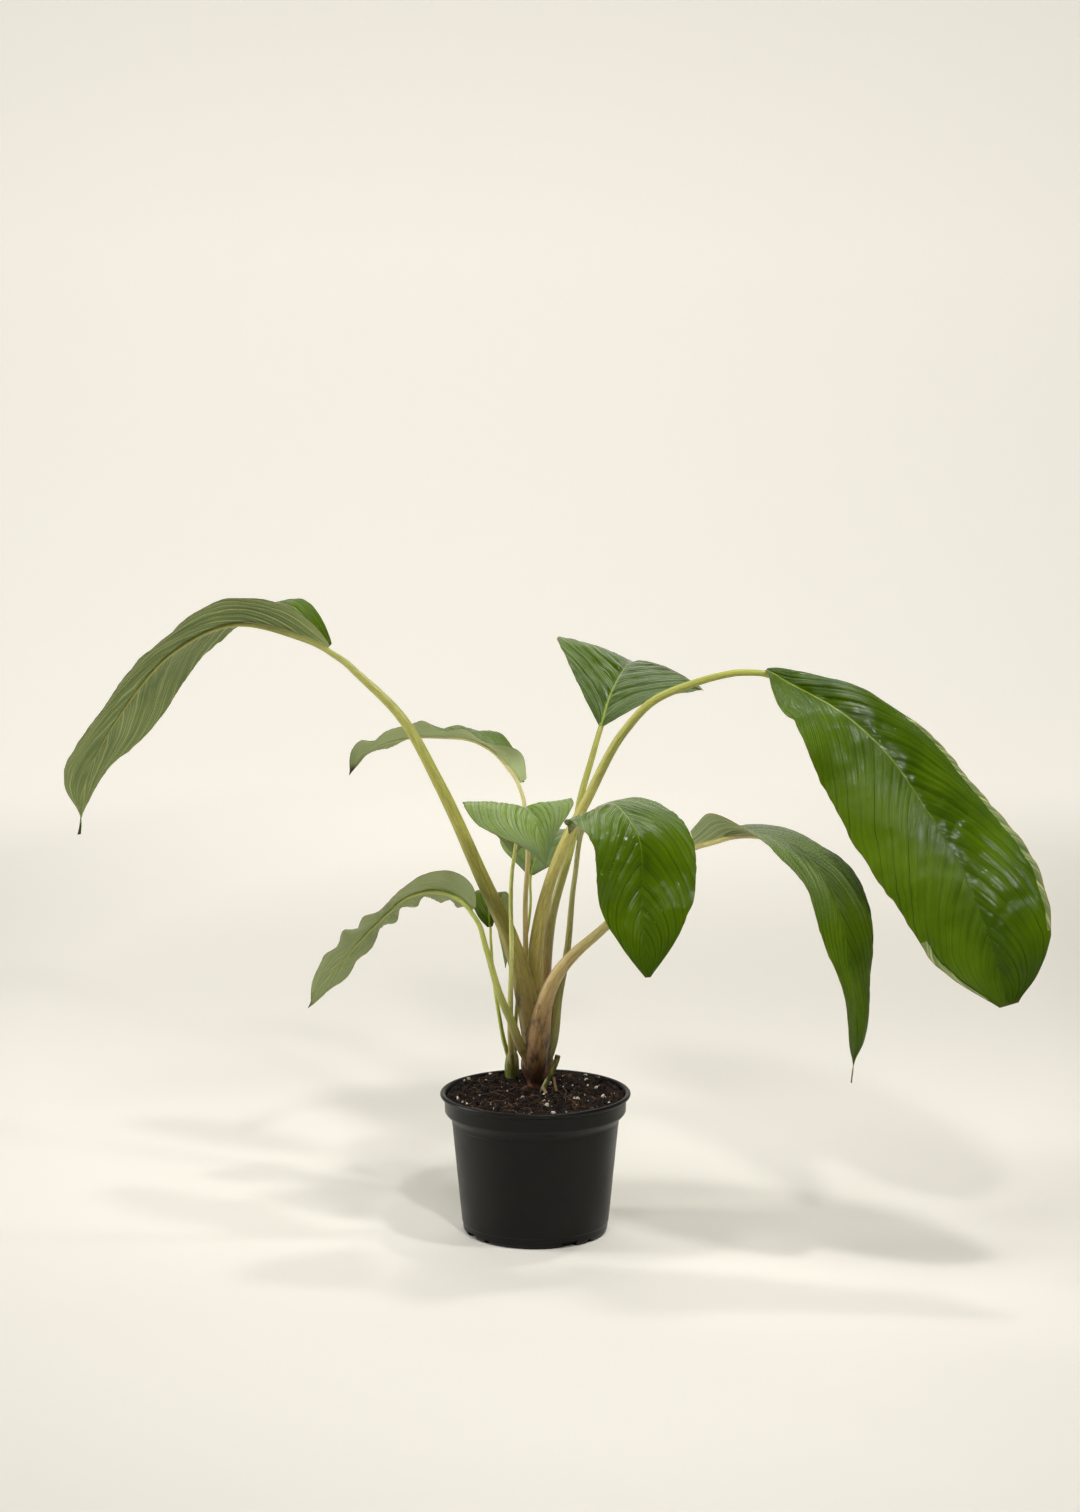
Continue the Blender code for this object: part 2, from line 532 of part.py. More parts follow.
def make_soil(where, cutters):
    clear = WALL + GAP
    rim = COLLAR_RADIUS - clear
    rings = [rim * k / SOIL_RINGS for k in range(SOIL_RINGS + 1)]
    shoulder = WALL_TOP - 1.0
    low = FLOOR + GAP
    profile = [(r, POT_HEIGHT) for r in rings]
    profile += [
        (rim, COLLAR_BOTTOM + 0.6), (wall_radius(shoulder, clear + 0.2), shoulder + 0.6),
        (wall_radius(5.0, clear + 0.3), 5.0), (FOOT_RADIUS - 5.0, low), (0.0, low),
    ]
    soil = as_mesh(turned("soil", profile, POT_SIDES, where))
    for vertex in soil.data.vertices:
        if vertex.co.z > (POT_HEIGHT - 0.1) * MM:
            vertex.co.z = soil_height(vertex.co.x / MM, vertex.co.y / MM) * MM
    soil.data.materials.append(finish_of("soil"))
    feet = (STUB[0],) + tuple(points[-1] for points in ROOTS.values())
    holes = [
        round_cutter("crown_hole", CROWN_CENTRE, CROWN_HOLE, CROWN_PROFILE[-1][1] - GAP, POT_HEIGHT + 10, cutters),
        round_cutter("side_hole", SIDE_CENTRE, SIDE_HOLE, SIDE_PROFILE[-1][1] - GAP, POT_HEIGHT + 10, cutters),
    ]
    for k, foot in enumerate(feet):
        holes.append(round_cutter(f"small_hole_{k}", foot, SMALL_HOLE, foot[2] - 2.0, POT_HEIGHT + 10, cutters))
    cut(soil, holes)


def make_crown(name, centre, profile, leaves, lines, where, finish):
    body = turned(name + "_body", profile, CROWN_SIDES, where)
    body.location = (centre[0] * MM, centre[1] * MM, 0.0)
    bpy.context.view_layer.update()
    body = as_mesh(body)
    feet = collection(name + "_feet")
    for leaf_name, leaf in leaves.items():
        if leaf["crown"] == name:
            sheath(leaf_name, leaf, lines[leaf_name], feet)
    fuse(name, body, feet, finish)


def make_small_pieces(where):
    def spread(points, radii, count):
        at = np.linspace(0.0, 1.0, len(points))
        run = np.linspace(0.0, 1.0, count)
        return smooth_values(at, points, run), np.interp(run, (0.0, 1.0), radii)

    tube("old_stub", *spread(STUB, STUB_RADIUS, 9), where, "cut_stub")
    for name, points in ROOTS.items():
        tube(name, *spread(points, ROOT_RADIUS, 8), where, "root")


def main():
    clear_scene()
    plant = collection("potted_bat_flower")
    cutters = collection("cutters")
    lines = {name: LeafLine(leaf) for name, leaf in LEAVES.items()}
    make_pot(plant, cutters)
    make_soil(plant, cutters)
    make_crown("crown", CROWN_CENTRE, CROWN_PROFILE, LEAVES, lines, plant, "brown_crown")
    make_crown("side_crown", SIDE_CENTRE, SIDE_PROFILE, LEAVES, lines, plant, "green_crown")
    make_small_pieces(plant)
    for name, leaf in LEAVES.items():
        stalk_object("stalk_" + name, leaf, lines[name], plant)
        blade_object("blade_" + name, leaf, lines[name], plant)


main()
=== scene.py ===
"""Looks of the potted bat flower: a young plant in leaf in a black nursery pot.

A leaf follows one smooth line: its stalk, then its rib. The blade is a sheet on both sides of
the rib. Sizes in the tables are millimetres, the same as the model's own. Front is -Y.
"""

import math

import bpy
import numpy as np
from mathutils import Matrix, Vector


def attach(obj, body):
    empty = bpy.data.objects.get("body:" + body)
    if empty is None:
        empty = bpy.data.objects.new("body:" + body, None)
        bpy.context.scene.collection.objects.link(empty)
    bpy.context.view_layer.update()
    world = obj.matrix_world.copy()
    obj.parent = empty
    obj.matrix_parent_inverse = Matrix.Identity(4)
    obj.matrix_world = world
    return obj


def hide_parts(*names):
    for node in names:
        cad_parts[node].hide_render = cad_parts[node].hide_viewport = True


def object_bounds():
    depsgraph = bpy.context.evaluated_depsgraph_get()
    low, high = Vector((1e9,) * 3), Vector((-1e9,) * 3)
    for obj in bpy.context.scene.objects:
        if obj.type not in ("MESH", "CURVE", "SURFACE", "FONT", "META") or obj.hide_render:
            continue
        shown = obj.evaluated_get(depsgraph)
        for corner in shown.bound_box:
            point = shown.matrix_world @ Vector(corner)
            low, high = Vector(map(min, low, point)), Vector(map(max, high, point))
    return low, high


bl_info = {
    "name": "Potted bat flower",
    "version": (1, 0, 0),
    "blender": (4, 5, 0),
    "location": "3D View > Sidebar > Bat flower",
    "description": "Builds a potted bat flower plant and its studio",
    "category": "Add Mesh",
}

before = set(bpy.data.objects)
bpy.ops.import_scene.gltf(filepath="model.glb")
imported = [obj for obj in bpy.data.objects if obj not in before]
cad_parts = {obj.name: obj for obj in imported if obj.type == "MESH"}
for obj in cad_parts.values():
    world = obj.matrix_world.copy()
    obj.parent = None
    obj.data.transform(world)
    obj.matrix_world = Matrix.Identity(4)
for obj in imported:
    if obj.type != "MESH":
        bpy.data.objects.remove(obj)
cad_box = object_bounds()

MM = 0.001
# Shares of the rib at which a blade's half widths and angles are given
STATIONS = (0.0, 0.07, 0.18, 0.32, 0.46, 0.60, 0.74, 0.88, 1.0)
# Shares of the rib where the sheet starts and ends, and where the raised rib under it ends
BLADE_START = 0.004
BLADE_END = 0.998
KEEL_END = 0.8
KEEL_TIP = 0.45

# Each leaf. girth is the stalk's radius from foot to blade, and leaves_at the height where the
# stalk leaves its crown. left and right are the half widths, lift the angle of each half at the
# rib and curl what is added to it by the margin, in degrees. Up to there the values are the
# model's, fitted closer to the photo in a few leaves. Then:
# nicks: a dent in a margin: its place and length as shares of the rib, and its depth.
# waves: how many ruffles both margins have, and how high.
# rolled: a stretch of a margin that rolls over: side, start, end, and from where in the half.
# vein_gap: the space between main side veins along the rib.
# reach: how far a side vein runs forward to the margin, as a share of the rib.
# pleats: the depth of the folds left and right. swell: the height of the loose undulation.
# tones: the lightness of the upper face left and right of the rib, and of the underside. Set leaf by leaf,
# they hold each leaf's own green and painted light and shade; above 1 they mix in a painted pale sheen.
# dull: what is added to the skin's roughness, left and right.
# frost: the strength of the painted pale sheen on the ridges between veins, and the share of the rib where
# it ends.
# dry: the share of the rib where the dry tip starts.
# ribs: how many ridges the stalk has round it, and their depth as a share of its radius.
# tints: the stalk's colours from foot to blade.
LEAVES = {
    "high_left": dict(
        crown="crown", leaves_at=188.0, girth=(6.0, 8.5, 6.6, 5.4, 4.6, 3.7, 2.4),
        stalk=((0, 28, 117), (-1, 26, 130), (-3, 27, 149), (-7, 28, 181), (-20, 34, 229),
               (-42, 40, 277), (-77, 48, 353), (-109, 57, 408), (-145, 68, 442), (-166, 78, 460)),
        rib=((-199, 92, 472), (-244, 115, 478), (-299, 145, 453), (-349, 170, 397),
             (-380, 185, 342), (-390, 190, 289)),
        left=(3, 24, 40, 50, 53, 50, 40, 22, 0), right=(3, 24, 42, 52, 54, 51, 40, 15, 0),
        lift_left=(65, 65, 45, 14, 3, 0, 6, 25, 10), lift_right=(55, 60, 33, 10, 4, -4, -10, 0, 0),
        curl_left=-16, curl_right=-16,
        nicks_left=((0.95, 0.05, 9.0),), nicks_right=((0.95, 0.05, 4.0),),
        vein_gap=26, reach=0.34, pleats=(1.8, 1.8), swell=1.0, tones=(0.45, 0.45, 0.6),
        tints=("#66502f", "#887a40", "#9c964a", "#a5a350", "#acab57", "#adad60"),
    ),
    "mid_left": dict(
        crown="crown", leaves_at=168.0, girth=(3.0, 3.0, 2.3, 2.1, 2.0, 1.9, 1.6),
        stalk=((-1, 32, 117), (-4, 35, 130), (-8, 38, 154), (-9, 42, 178), (-8, 46, 210),
               (-8, 49, 259), (-6, 55, 299), (-9, 62, 334), (-12, 68, 351)),
        rib=((-22, 76, 365), (-32, 82, 375), (-48, 92, 383), (-78, 112, 384), (-104, 130, 381),
             (-128, 146, 373), (-148, 158, 360), (-157, 165, 344)),
        left=(6, 14, 18, 23, 26, 24, 20, 12, 0), right=(4, 10, 18, 24, 26, 24, 18, 8, 0),
        lift_left=(105, 105, 46, 30, 36, 30, 22, 35, 0), lift_right=(20, 30, 30, 20, 20, 14, 4, 0, 0),
        curl_left=-14, curl_right=-14, waves=(5, 1.8),
        vein_gap=15, reach=0.34, pleats=(1.6, 1.6), swell=1.8,
        frost=(0.5, 1.2), tones=(0.6, 0.6, 2.0), dry=0.95,
        tints=("#735d39", "#867147", "#a4935a", "#bfae72", "#cbbf80", "#d8cf92"),
    ),
    "low_left": dict(
        crown="crown", leaves_at=148.0, girth=(3.5, 4.0, 3.6, 3.1, 2.6, 2.2, 1.8),
        stalk=((-2, 24, 117), (-4, 19, 129), (-14, 13, 152), (-19, 11, 167), (-27, 12, 185),
               (-39, 18, 224), (-50, 28, 254)),
        rib=((-57, 32, 261), (-69, 40, 266), (-83, 50, 267), (-102, 62, 261), (-125, 76, 240),
             (-143, 86, 220), (-166, 96, 191), (-189, 106, 157)),
        left=(4, 18, 24, 27, 28, 26, 20, 10, 0), right=(3, 12, 22, 27, 28, 26, 20, 10, 0),
        lift_left=(95, 90, 45, 5, 10, 15, 25, 50, 0), lift_right=(-30, -40, -30, -12, 5, 0, -6, -25, 0),
        curl_left=-10, curl_right=-10, waves=(7, 2.6),
        vein_gap=16, reach=0.4, pleats=(1.6, 1.6), swell=1.4,
        frost=(1.0, 1.2), tones=(0.6, 0.6, 1.4), dry=0.98,
        tints=("#715634", "#7f6e3b", "#90914a", "#abad5b", "#adb25b", "#b6bd62"),
    ),
    "front_left": dict(
        crown="side_crown", leaves_at=134.0, girth=(2.4, 2.6, 2.2, 1.9, 1.8, 1.7, 1.5),
        stalk=((-19, 47, 117), (-19, 43, 129), (-20, 36, 149), (-20, 24, 182), (-19, 17, 224),
               (-19, 14, 281), (-17, 12, 303)),
        rib=((-14, 6, 323), (-11, -3, 337), (-8, -16, 344), (0, -44, 337), (5, -60, 323),
             (8, -70, 307)),
        left=(2, 10, 25, 37, 38, 29, 17, 7, 0), right=(2, 10, 25, 42, 51, 46, 31, 12, 0),
        lift_left=(20, 20, 20, 20, 15, 5, 0, 0, 0), lift_right=(20, 20, 20, 20, 15, 5, 0, 0, 0),
        curl_left=-20, curl_right=-20,
        vein_gap=17, reach=0.9, pleats=(1.8, 1.8), swell=2.0, frost=(0.7, 1.2), tones=(1.1, 1.15, 1.1),
        tints=("#9a8b51", "#b1a864", "#bcbc71", "#c9cc79", "#ced27a", "#d1d57a"),
    ),
    "back_small": dict(
        crown="side_crown", leaves_at=136.0, girth=(1.8, 1.7, 1.4, 1.3, 1.2, 1.1, 1.0),
        stalk=((-18, 50, 117), (-17, 51, 129), (-16, 53, 156), (-14, 56, 185), (-9, 60, 216),
               (-4, 66, 252), (-4, 70, 275)),
        rib=((-1, 82, 284), (1, 96, 292), (4, 116, 299), (5, 139, 298), (7, 168, 280)),
        left=(2, 12, 24, 32, 34, 30, 20, 8, 0), right=(2, 12, 24, 32, 34, 30, 20, 8, 0),
        lift_left=20, lift_right=20, curl_left=-20, curl_right=-20,
        vein_gap=10, reach=0.3, pleats=(0.8, 0.8), swell=0.6, frost=(0.9, 1.2), tones=(0.7, 0.7, 0.9),
        tints=("#8b9440", "#9ba343", "#a8b04a", "#b0b84e", "#b2ba50", "#b4be52"),
    ),
    "back_high": dict(
        crown="crown", leaves_at=176.0, girth=(3.6, 4.4, 4.0, 3.5, 3.0, 2.6, 2.2),
        stalk=((2, 33, 117), (4, 38, 129), (6, 48, 160), (8, 53, 188), (13, 56, 241),
               (30, 60, 305), (38, 65, 346), (44, 69, 366), (53, 76, 397)),
        rib=((61, 100, 419), (67, 118, 429), (75, 145, 438), (81, 175, 439), (89, 220, 426),
             (95, 245, 403)),
        left=(2, 12, 26, 46, 64, 60, 42, 16, 0), right=(2, 16, 36, 62, 70, 58, 40, 16, 0),
        lift_left=(20, 20, 20, 25, 30, 25, 10, 0, 0), lift_right=(-5, -5, 0, 5, 5, 0, 0, 0, 0),
        curl_left=-20, curl_right=(0, 0, -10, -30, -45, -40, -20, 0, 0),
        vein_gap=17, reach=0.3, pleats=(2.4, 2.0), swell=0.9, frost=(0.5, 1.2), tones=(0.25, 0.2, 0.8),
        tints=("#714c34", "#97714c", "#9f955d", "#abab5b", "#b4b45e", "#b4b45a"),
    ),
    "high_right": dict(
        crown="crown", leaves_at=188.0, girth=(6.0, 6.6, 5.0, 4.1, 3.5, 3.0, 2.4),
        stalk=((1, 31, 117), (1, 36, 129), (1, 41, 178), (0, 42, 211), (4, 40, 244), (21, 33, 302),
               (41, 26, 344), (71, 10, 402), (91, 0, 425), (121, -8, 440), (159, -22, 451),
               (177, -28, 453)),
        rib=((195, -36, 444), (235, -58, 423), (269, -78, 392), (294, -95, 356), (316, -112, 320),
             (335, -128, 275), (353, -140, 213)),
        left=(2, 22, 40, 54, 60, 60, 54, 44, 14), right=(3, 30, 45, 56, 60, 60, 53, 42, 6),
        lift_left=(60, 60, 60, 50, 45, 48, 68, 80, 60),
        lift_right=(20, 0, -12, -36, -45, -52, -56, -58, -40),
        curl_left=(-60, -80, -80, -70, -60, -50, -40, -40, -20), curl_right=-16,
        vein_gap=25, reach=0.34, pleats=(2.0, 0.7), swell=0.8,
        dull=(-0.03, 0.12), tones=(0.25, 0.42, 0.7), ribs=(9, 0.05),
        nicks_left=((1.0, 0.03, 6.0),), nicks_right=((0.155, 0.012, 3.0),),
        rolled=(("left", 0.3, 0.86, 0.93), ("right", 0.8, 0.97, 0.9)),
        tints=("#6a5236", "#a5954f", "#c4b968", "#b9b460", "#aeae56", "#a9ad50"),
    ),
    "front_right": dict(
        crown="crown", leaves_at=152.0, girth=(4.2, 4.4, 3.4, 2.7, 2.2, 2.0, 1.8),
        stalk=((4, 29, 117), (8, 26, 129), (13, 26, 145), (18, 27, 181), (25, 24, 219),
               (31, 14, 281), (41, 0, 333)),
        rib=((48, -8, 343), (59, -22, 348), (70, -45, 342), (80, -62, 325), (82, -72, 300),
             (82, -80, 273), (86, -90, 224)),
        left=(2, 22, 38, 46, 47, 44, 36, 23, 2), right=(4, 36, 44, 46, 47, 43, 33, 18, 2),
        lift_left=(30, 20, 6, 4, 4, 10, 24, 15, 0), lift_right=(-28, -28, -10, 4, 16, 14, -2, 2, 0),
        curl_left=-12, curl_right=-12,
        vein_gap=17, reach=0.36, pleats=(1.7, 1.7), swell=1.8, frost=(0.9, 0.3), tones=(0.4, 0.45, 0.4),
        tints=("#5f4c31", "#868247", "#938f4c", "#a6a15d", "#b9b571", "#c7c27a"),
    ),
    "low_right": dict(
        crown="crown", leaves_at=182.0,
        girth=(5.0, 8.8, 9.2, 7.3, 6.0, 5.0, 4.3, 3.8, 3.5, 3.1, 2.8, 2.4, 2.0),
        stalk=((1, 24, 117), (1, 18, 130), (2, 14, 151), (5.5, 12.5, 174), (11.5, 10.5, 194),
               (20, 8, 210), (31, 4, 223.5), (51, -3.5, 243), (90, -14, 283), (123, -26, 315)),
        rib=((138, -33, 321), (155, -41, 327), (173, -49, 328), (193, -60, 323), (208, -69, 313),
             (222, -78, 298), (231, -87, 276), (237, -94, 248), (242, -100, 217), (243, -106, 179),
             (240, -108, 146)),
        left=(2, 18, 27, 34, 36, 30, 25, 12, 0), right=(12, 21, 22, 33, 35, 31, 24, 12, 0),
        lift_left=(20, 20, 12, 5, 12, 20, 5, 15, 0), lift_right=(110, 80, 25, 8, 8, 4, 14, 10, 0),
        curl_left=-10, curl_right=-10,
        nicks_left=((0.95, 0.04, 5.0),), nicks_right=((0.95, 0.04, 5.0),),
        vein_gap=21, reach=0.42, pleats=(0.9, 0.9), swell=1.0,
        frost=(1.1, 0.45), tones=(0.45, 0.65, 0.7), dry=0.96,
        tints=("#533a29", "#967649", "#bda66c", "#c5b774", "#cdbf7e", "#d5c988"),
    ),
    "small_left": dict(
        crown="side_crown", leaves_at=136.0, girth=(1.8, 1.9, 1.6, 1.5, 1.3, 1.2, 1.0),
        stalk=((-20, 49, 117), (-22, 49, 129), (-26, 50, 144), (-29, 52, 160), (-34, 57, 192),
               (-37, 66, 233)),
        rib=((-38, 70, 245), (-38, 78, 253), (-35, 88, 257), (-30, 98, 252), (-27, 104, 236),
             (-25, 108, 214), (-25, 110, 190)),
        left=(2, 8, 13, 14, 11, 8, 6, 3, 0), right=(2, 6, 9, 10, 8, 6, 5, 3, 0),
        lift_left=20, lift_right=20, curl_left=-20, curl_right=-20,
        vein_gap=8, reach=0.4, pleats=(0.3, 0.3), swell=0.5, tones=(0.8, 0.8, 0.9),
        tints=("#8a9742", "#a6b24a", "#b6c156", "#bec95b", "#c3cd5d", "#c8d25f"),
    ),
}

CROWN_CENTRE = (1.0, 29.0)
CROWN_PROFILE = (
    (0.0, 144.0), (7.0, 142.0), (11.5, 136.0), (13.0, 128.0), (12.0, 121.0),
    (8.3, 115.0), (6.8, 108.0), (6.0, 97.0), (5.0, 86.0), (0.0, 86.0),
)
CROWN_SIDES = 48
# Heights between which a crown's colour runs from its lower to its upper one
CROWN_FADE = (104.0, 126.0)
SIDE_CENTRE = (-19.0, 48.0)
SIDE_PROFILE = (
    (0.0, 136.0), (3.2, 134.0), (5.2, 128.0), (6.0, 120.0), (5.5, 112.0), (4.5, 104.0),
    (3.0, 92.0), (0.0, 92.0),
)
STUB = ((5.0, 14.0, 104.0), (6.0, 14.5, 110.0), (9.0, 14.5, 117.0), (13.0, 14.0, 125.0),
        (16.0, 13.5, 132.0), (18.0, 13.5, 139.0))
ROOTS = {
    "root_right": ((14.5, 18.0, 120.0), (15.5, 15.5, 115.0), (16.5, 14.0, 110.0), (17.0, 13.0, 102.0)),
    "root_front": ((6.5, 10.0, 113.0), (7.5, 7.0, 112.0), (9.0, 3.0, 109.0), (9.5, 1.5, 102.0)),
}

POT_HEIGHT = 113.5
LIP_RADIUS = 76.0
COLLAR_RADIUS = 72.2
COLLAR_BOTTOM = 97.0
WALL_TOP_RADIUS = 66.7
WALL_TOP = 91.5
FOOT_RADIUS = 58.2
FOOT_STEP = 9.0
WALL = 1.4
FLOOR = 1.6
NOTCH_AZIMUTH = -62.0
NOTCH_SIZE = (14.0, 13.5, 9.0)
SLOT_TURN = 20.0
SLOT_SIZE = (12.0, 5.0, 6.0)
SOIL_FRONT = 107.5
SOIL_RISE = 4.5
SOIL_RADIUS = 70.3
SOIL_SIDES = 300
SOIL_RINGS = 90
# How far from the pot's axis lumps lie, and fibres start and end
LUMPS_REACH = 68.5
FIBRES_REACH = 64.0
FIBRES_EDGE = 69.0
# How far they keep from the middle of each crown
CROWN_GAP = 10.0
SIDE_GAP = 6.0


def hex_colour(code):
    """A linear colour from an sRGB hex value."""
    values = [int(code[k:k + 2], 16) / 255 for k in (1, 3, 5)]
    linear = [v / 12.92 if v <= 0.04045 else ((v + 0.055) / 1.055) ** 2.4 for v in values]
    return (*linear, 1.0)


# Curves, noise and meshes

def smooth_values(at, values, where):
    """Values on the smooth curve through (at, values): cubic pieces with weighted slopes."""
    at = np.asarray(at, float)
    values = np.asarray(values, float).reshape(len(at), -1)
    step = np.diff(at)[:, None]
    slope = np.diff(values, axis=0) / step
    lean = np.empty_like(values)
    lean[0], lean[-1] = slope[0], slope[-1]
    lean[1:-1] = (slope[:-1] * step[1:] + slope[1:] * step[:-1]) / (step[:-1] + step[1:])
    piece = np.clip(np.searchsorted(at, where, side="right") - 1, 0, len(at) - 2)
    u = ((where - at[piece]) / step[piece, 0])[:, None]
    start = (2 * u**3 - 3 * u**2 + 1) * values[piece] + (u**3 - 2 * u**2 + u) * step[piece] * lean[piece]
    end = (3 * u**2 - 2 * u**3) * values[piece + 1] + (u**3 - u**2) * step[piece] * lean[piece + 1]
    return start + end


def smooth_step(low, high, x):
    """0 at low and 1 at high, with a smooth rise or, where low is the larger, a fall between."""
    share = np.clip((x - low) / (high - low), 0.0, 1.0)
    return share * share * (3.0 - 2.0 * share)


def value_noise(points, cell, seed):
    """Noise from -1 to 1: random values at the corners of cubes of one cell, smoothly blended."""
    place = np.asarray(points, float) / cell
    corner = np.floor(place).astype(np.int64)
    part = place - corner
    part = part * part * (3.0 - 2.0 * part)
    total = np.zeros(len(place))
    for k in range(8):
        offset = np.array((k & 1, k >> 1 & 1, k >> 2 & 1))
        at = corner + offset
        code = (at[:, 0] * 73856093 ^ at[:, 1] * 19349663 ^ at[:, 2] * 83492791) + seed * 7919
        code = (code ^ (code >> 13)) * 1274126177 & 0xFFFFFFFF
        code = (code ^ (code >> 16)) * 2246822519 & 0xFFFFFFFF
        weight = np.prod(np.where(offset, part, 1.0 - part), axis=1)
        total += weight * ((code >> 8) / 2.0**23 - 1.0)
    return total


def unit(vectors):
    """Vectors divided by their lengths."""
    return vectors / np.linalg.norm(vectors, axis=-1, keepdims=True)


def circle(count):
    """The angles of the points of one ring."""
    return np.linspace(0.0, 2 * np.pi, count, endpoint=False)


def rings_round(place, side, other, size, around):
    """Rings of points round places: place + size * (side * cosine + other * sine of the angle)."""
    turn = circle(around)
    return (place[..., None, :] + side[..., None, :] * (size * np.cos(turn))[..., None]
            + other[..., None, :] * (size * np.sin(turn))[..., None])


def make_mesh(name, points, faces, materials, face_materials=None, flat=False, **values):
    """A mesh object from points in millimetres; each extra array becomes a point attribute."""
    mesh = bpy.data.meshes.new(name)
    mesh.from_pydata((np.asarray(points) * MM).tolist(), [], faces)
    for material in materials:
        mesh.materials.append(material)
    if face_materials is not None:
        mesh.polygons.foreach_set("material_index", np.asarray(face_materials, np.int32))
    for label, data in values.items():
        data = np.asarray(data, np.float32)
        kind, field = ("FLOAT", "value") if data.ndim == 1 else ("FLOAT_VECTOR", "vector")
        mesh.attributes.new(label, kind, "POINT").data.foreach_set(field, data.ravel())
    mesh.validate()
    if not flat:
        mesh.shade_smooth()
        mesh.set_sharp_from_angle(angle=math.radians(65))
    piece = bpy.data.objects.new(name, mesh)
    bpy.context.scene.collection.objects.link(piece)
    return piece


def grid_faces(rows, columns, wrap=False, start=0):
    """Quads of a grid of points that is stored row by row."""
    across = np.arange(columns if wrap else columns - 1)
    low = start + np.arange(rows - 1)[:, None] * columns
    first, second = low + across, low + (across + 1) % columns
    return np.stack((first, second, second + columns, first + columns), axis=-1).reshape(-1, 4)


def closed_tube(rings):
    """Points and faces of a tube through rings of points (rows, around, 3), closed at both ends."""
    rows, around = rings.shape[:2]
    points = np.concatenate((rings.reshape(-1, 3), rings[:1].mean(axis=1), rings[-1:].mean(axis=1)))
    faces = grid_faces(rows, around, wrap=True).tolist()
    turn = np.arange(around)
    after = (turn + 1) % around
    foot, top, last = rows * around, rows * around + 1, (rows - 1) * around
    faces += np.stack((after, turn, np.full(around, foot)), axis=1).tolist()
    faces += np.stack((last + turn, last + after, np.full(around, top)), axis=1).tolist()
    return points, faces


def joined(parts):
    """Several (points, faces) as one."""
    faces, total = [], 0
    for points, own in parts:
        faces += [[k + total for k in face] for face in own]
        total += len(points)
    return np.concatenate([points for points, _ in parts]), faces


def finish_piece(piece, slot, *nodes):
    """Gives a piece its body, and lets it replace the nodes that it dresses. Its slot is not used."""
    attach(piece, "root")
    if nodes:
        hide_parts(*nodes)


# Leaves

# Unevenness of a half's width: share of the width, noise cell, noise key
WIDTH_NOISE = ((0.015, 8.0, 7), (0.02, 23.0, 6))
# Folds between side veins: number in a vein gap, depth, and the cell and key of their noise
FOLDS = ((1, 0.9, 60.0, 11), (2, 0.65, 35.0, 12), (4, 0.2, 25.0, 13))
# How high a margin rolls, and how far the raised rib keeps off the blade
ROLL_HEIGHT = 2.2
KEEL_GAP = 0.35
# Painted shade along the rib, where the folded blade lies in its own shadow: how much darker, as lightness
PAINTED_RIB_SHADE = 0.15
NARROWEST = 0.1
# Stalks: points round a ring, and the space between rings, on the free stalk and in its crown
STALK_SIDES = 28
STALK_STEP = 2.5
SHEATH_SIDES = 36
SHEATH_STEP = 1.2
KEEL_RINGS = 50


class LeafLine:
    """The smooth line of a leaf, from the foot of its stalk to the tip of its blade."""

    def __init__(self, leaf):
        points = np.array(leaf["stalk"] + leaf["rib"], float)
        chord = np.concatenate(([0.0], np.cumsum(np.linalg.norm(np.diff(points, axis=0), axis=1))))
        steps = np.linspace(0.0, chord[-1], 1200)
        self.places = smooth_values(chord, points, steps)
        gaps = np.linalg.norm(np.diff(self.places, axis=0), axis=1)
        self.run = np.concatenate(([0.0], np.cumsum(gaps)))
        self.stalk_length = np.interp(chord[len(leaf["stalk"]) - 1], steps, self.run)
        self.length = self.run[-1]
        self.rib_length = self.length - self.stalk_length
        along = points[-1, :2] - np.array(leaf["stalk"][-1][:2], float)
        along /= np.linalg.norm(along)
        self.left = np.array((-along[1], along[0], 0.0))

    def at(self, run):
        """Place, direction, left and up at the given lengths along the line."""
        turn = np.gradient(self.places, self.run, axis=0)
        place, ahead = (np.stack([np.interp(run, self.run, values[:, k]) for k in range(3)], axis=1)
                        for values in (self.places, turn))
        ahead = unit(ahead)
        left = unit(self.left - (ahead @ self.left)[:, None] * ahead)
        return place, ahead, left, np.cross(ahead, left)

    def run_at_height(self, height):
        """The length along the line where it first passes a height."""
        past = int(np.argmax(self.places[:, 2] > height))
        return np.interp(height, self.places[past - 1:past + 1, 2], self.run[past - 1:past + 1])


def station_values(leaf, name, where):
    """A leaf's value at shares of its rib: one number, or a smooth curve through the stations."""
    value = leaf[name]
    if np.ndim(value) == 0:
        return np.full(len(where), float(value))
    return smooth_values(STATIONS, value, where)[:, 0]


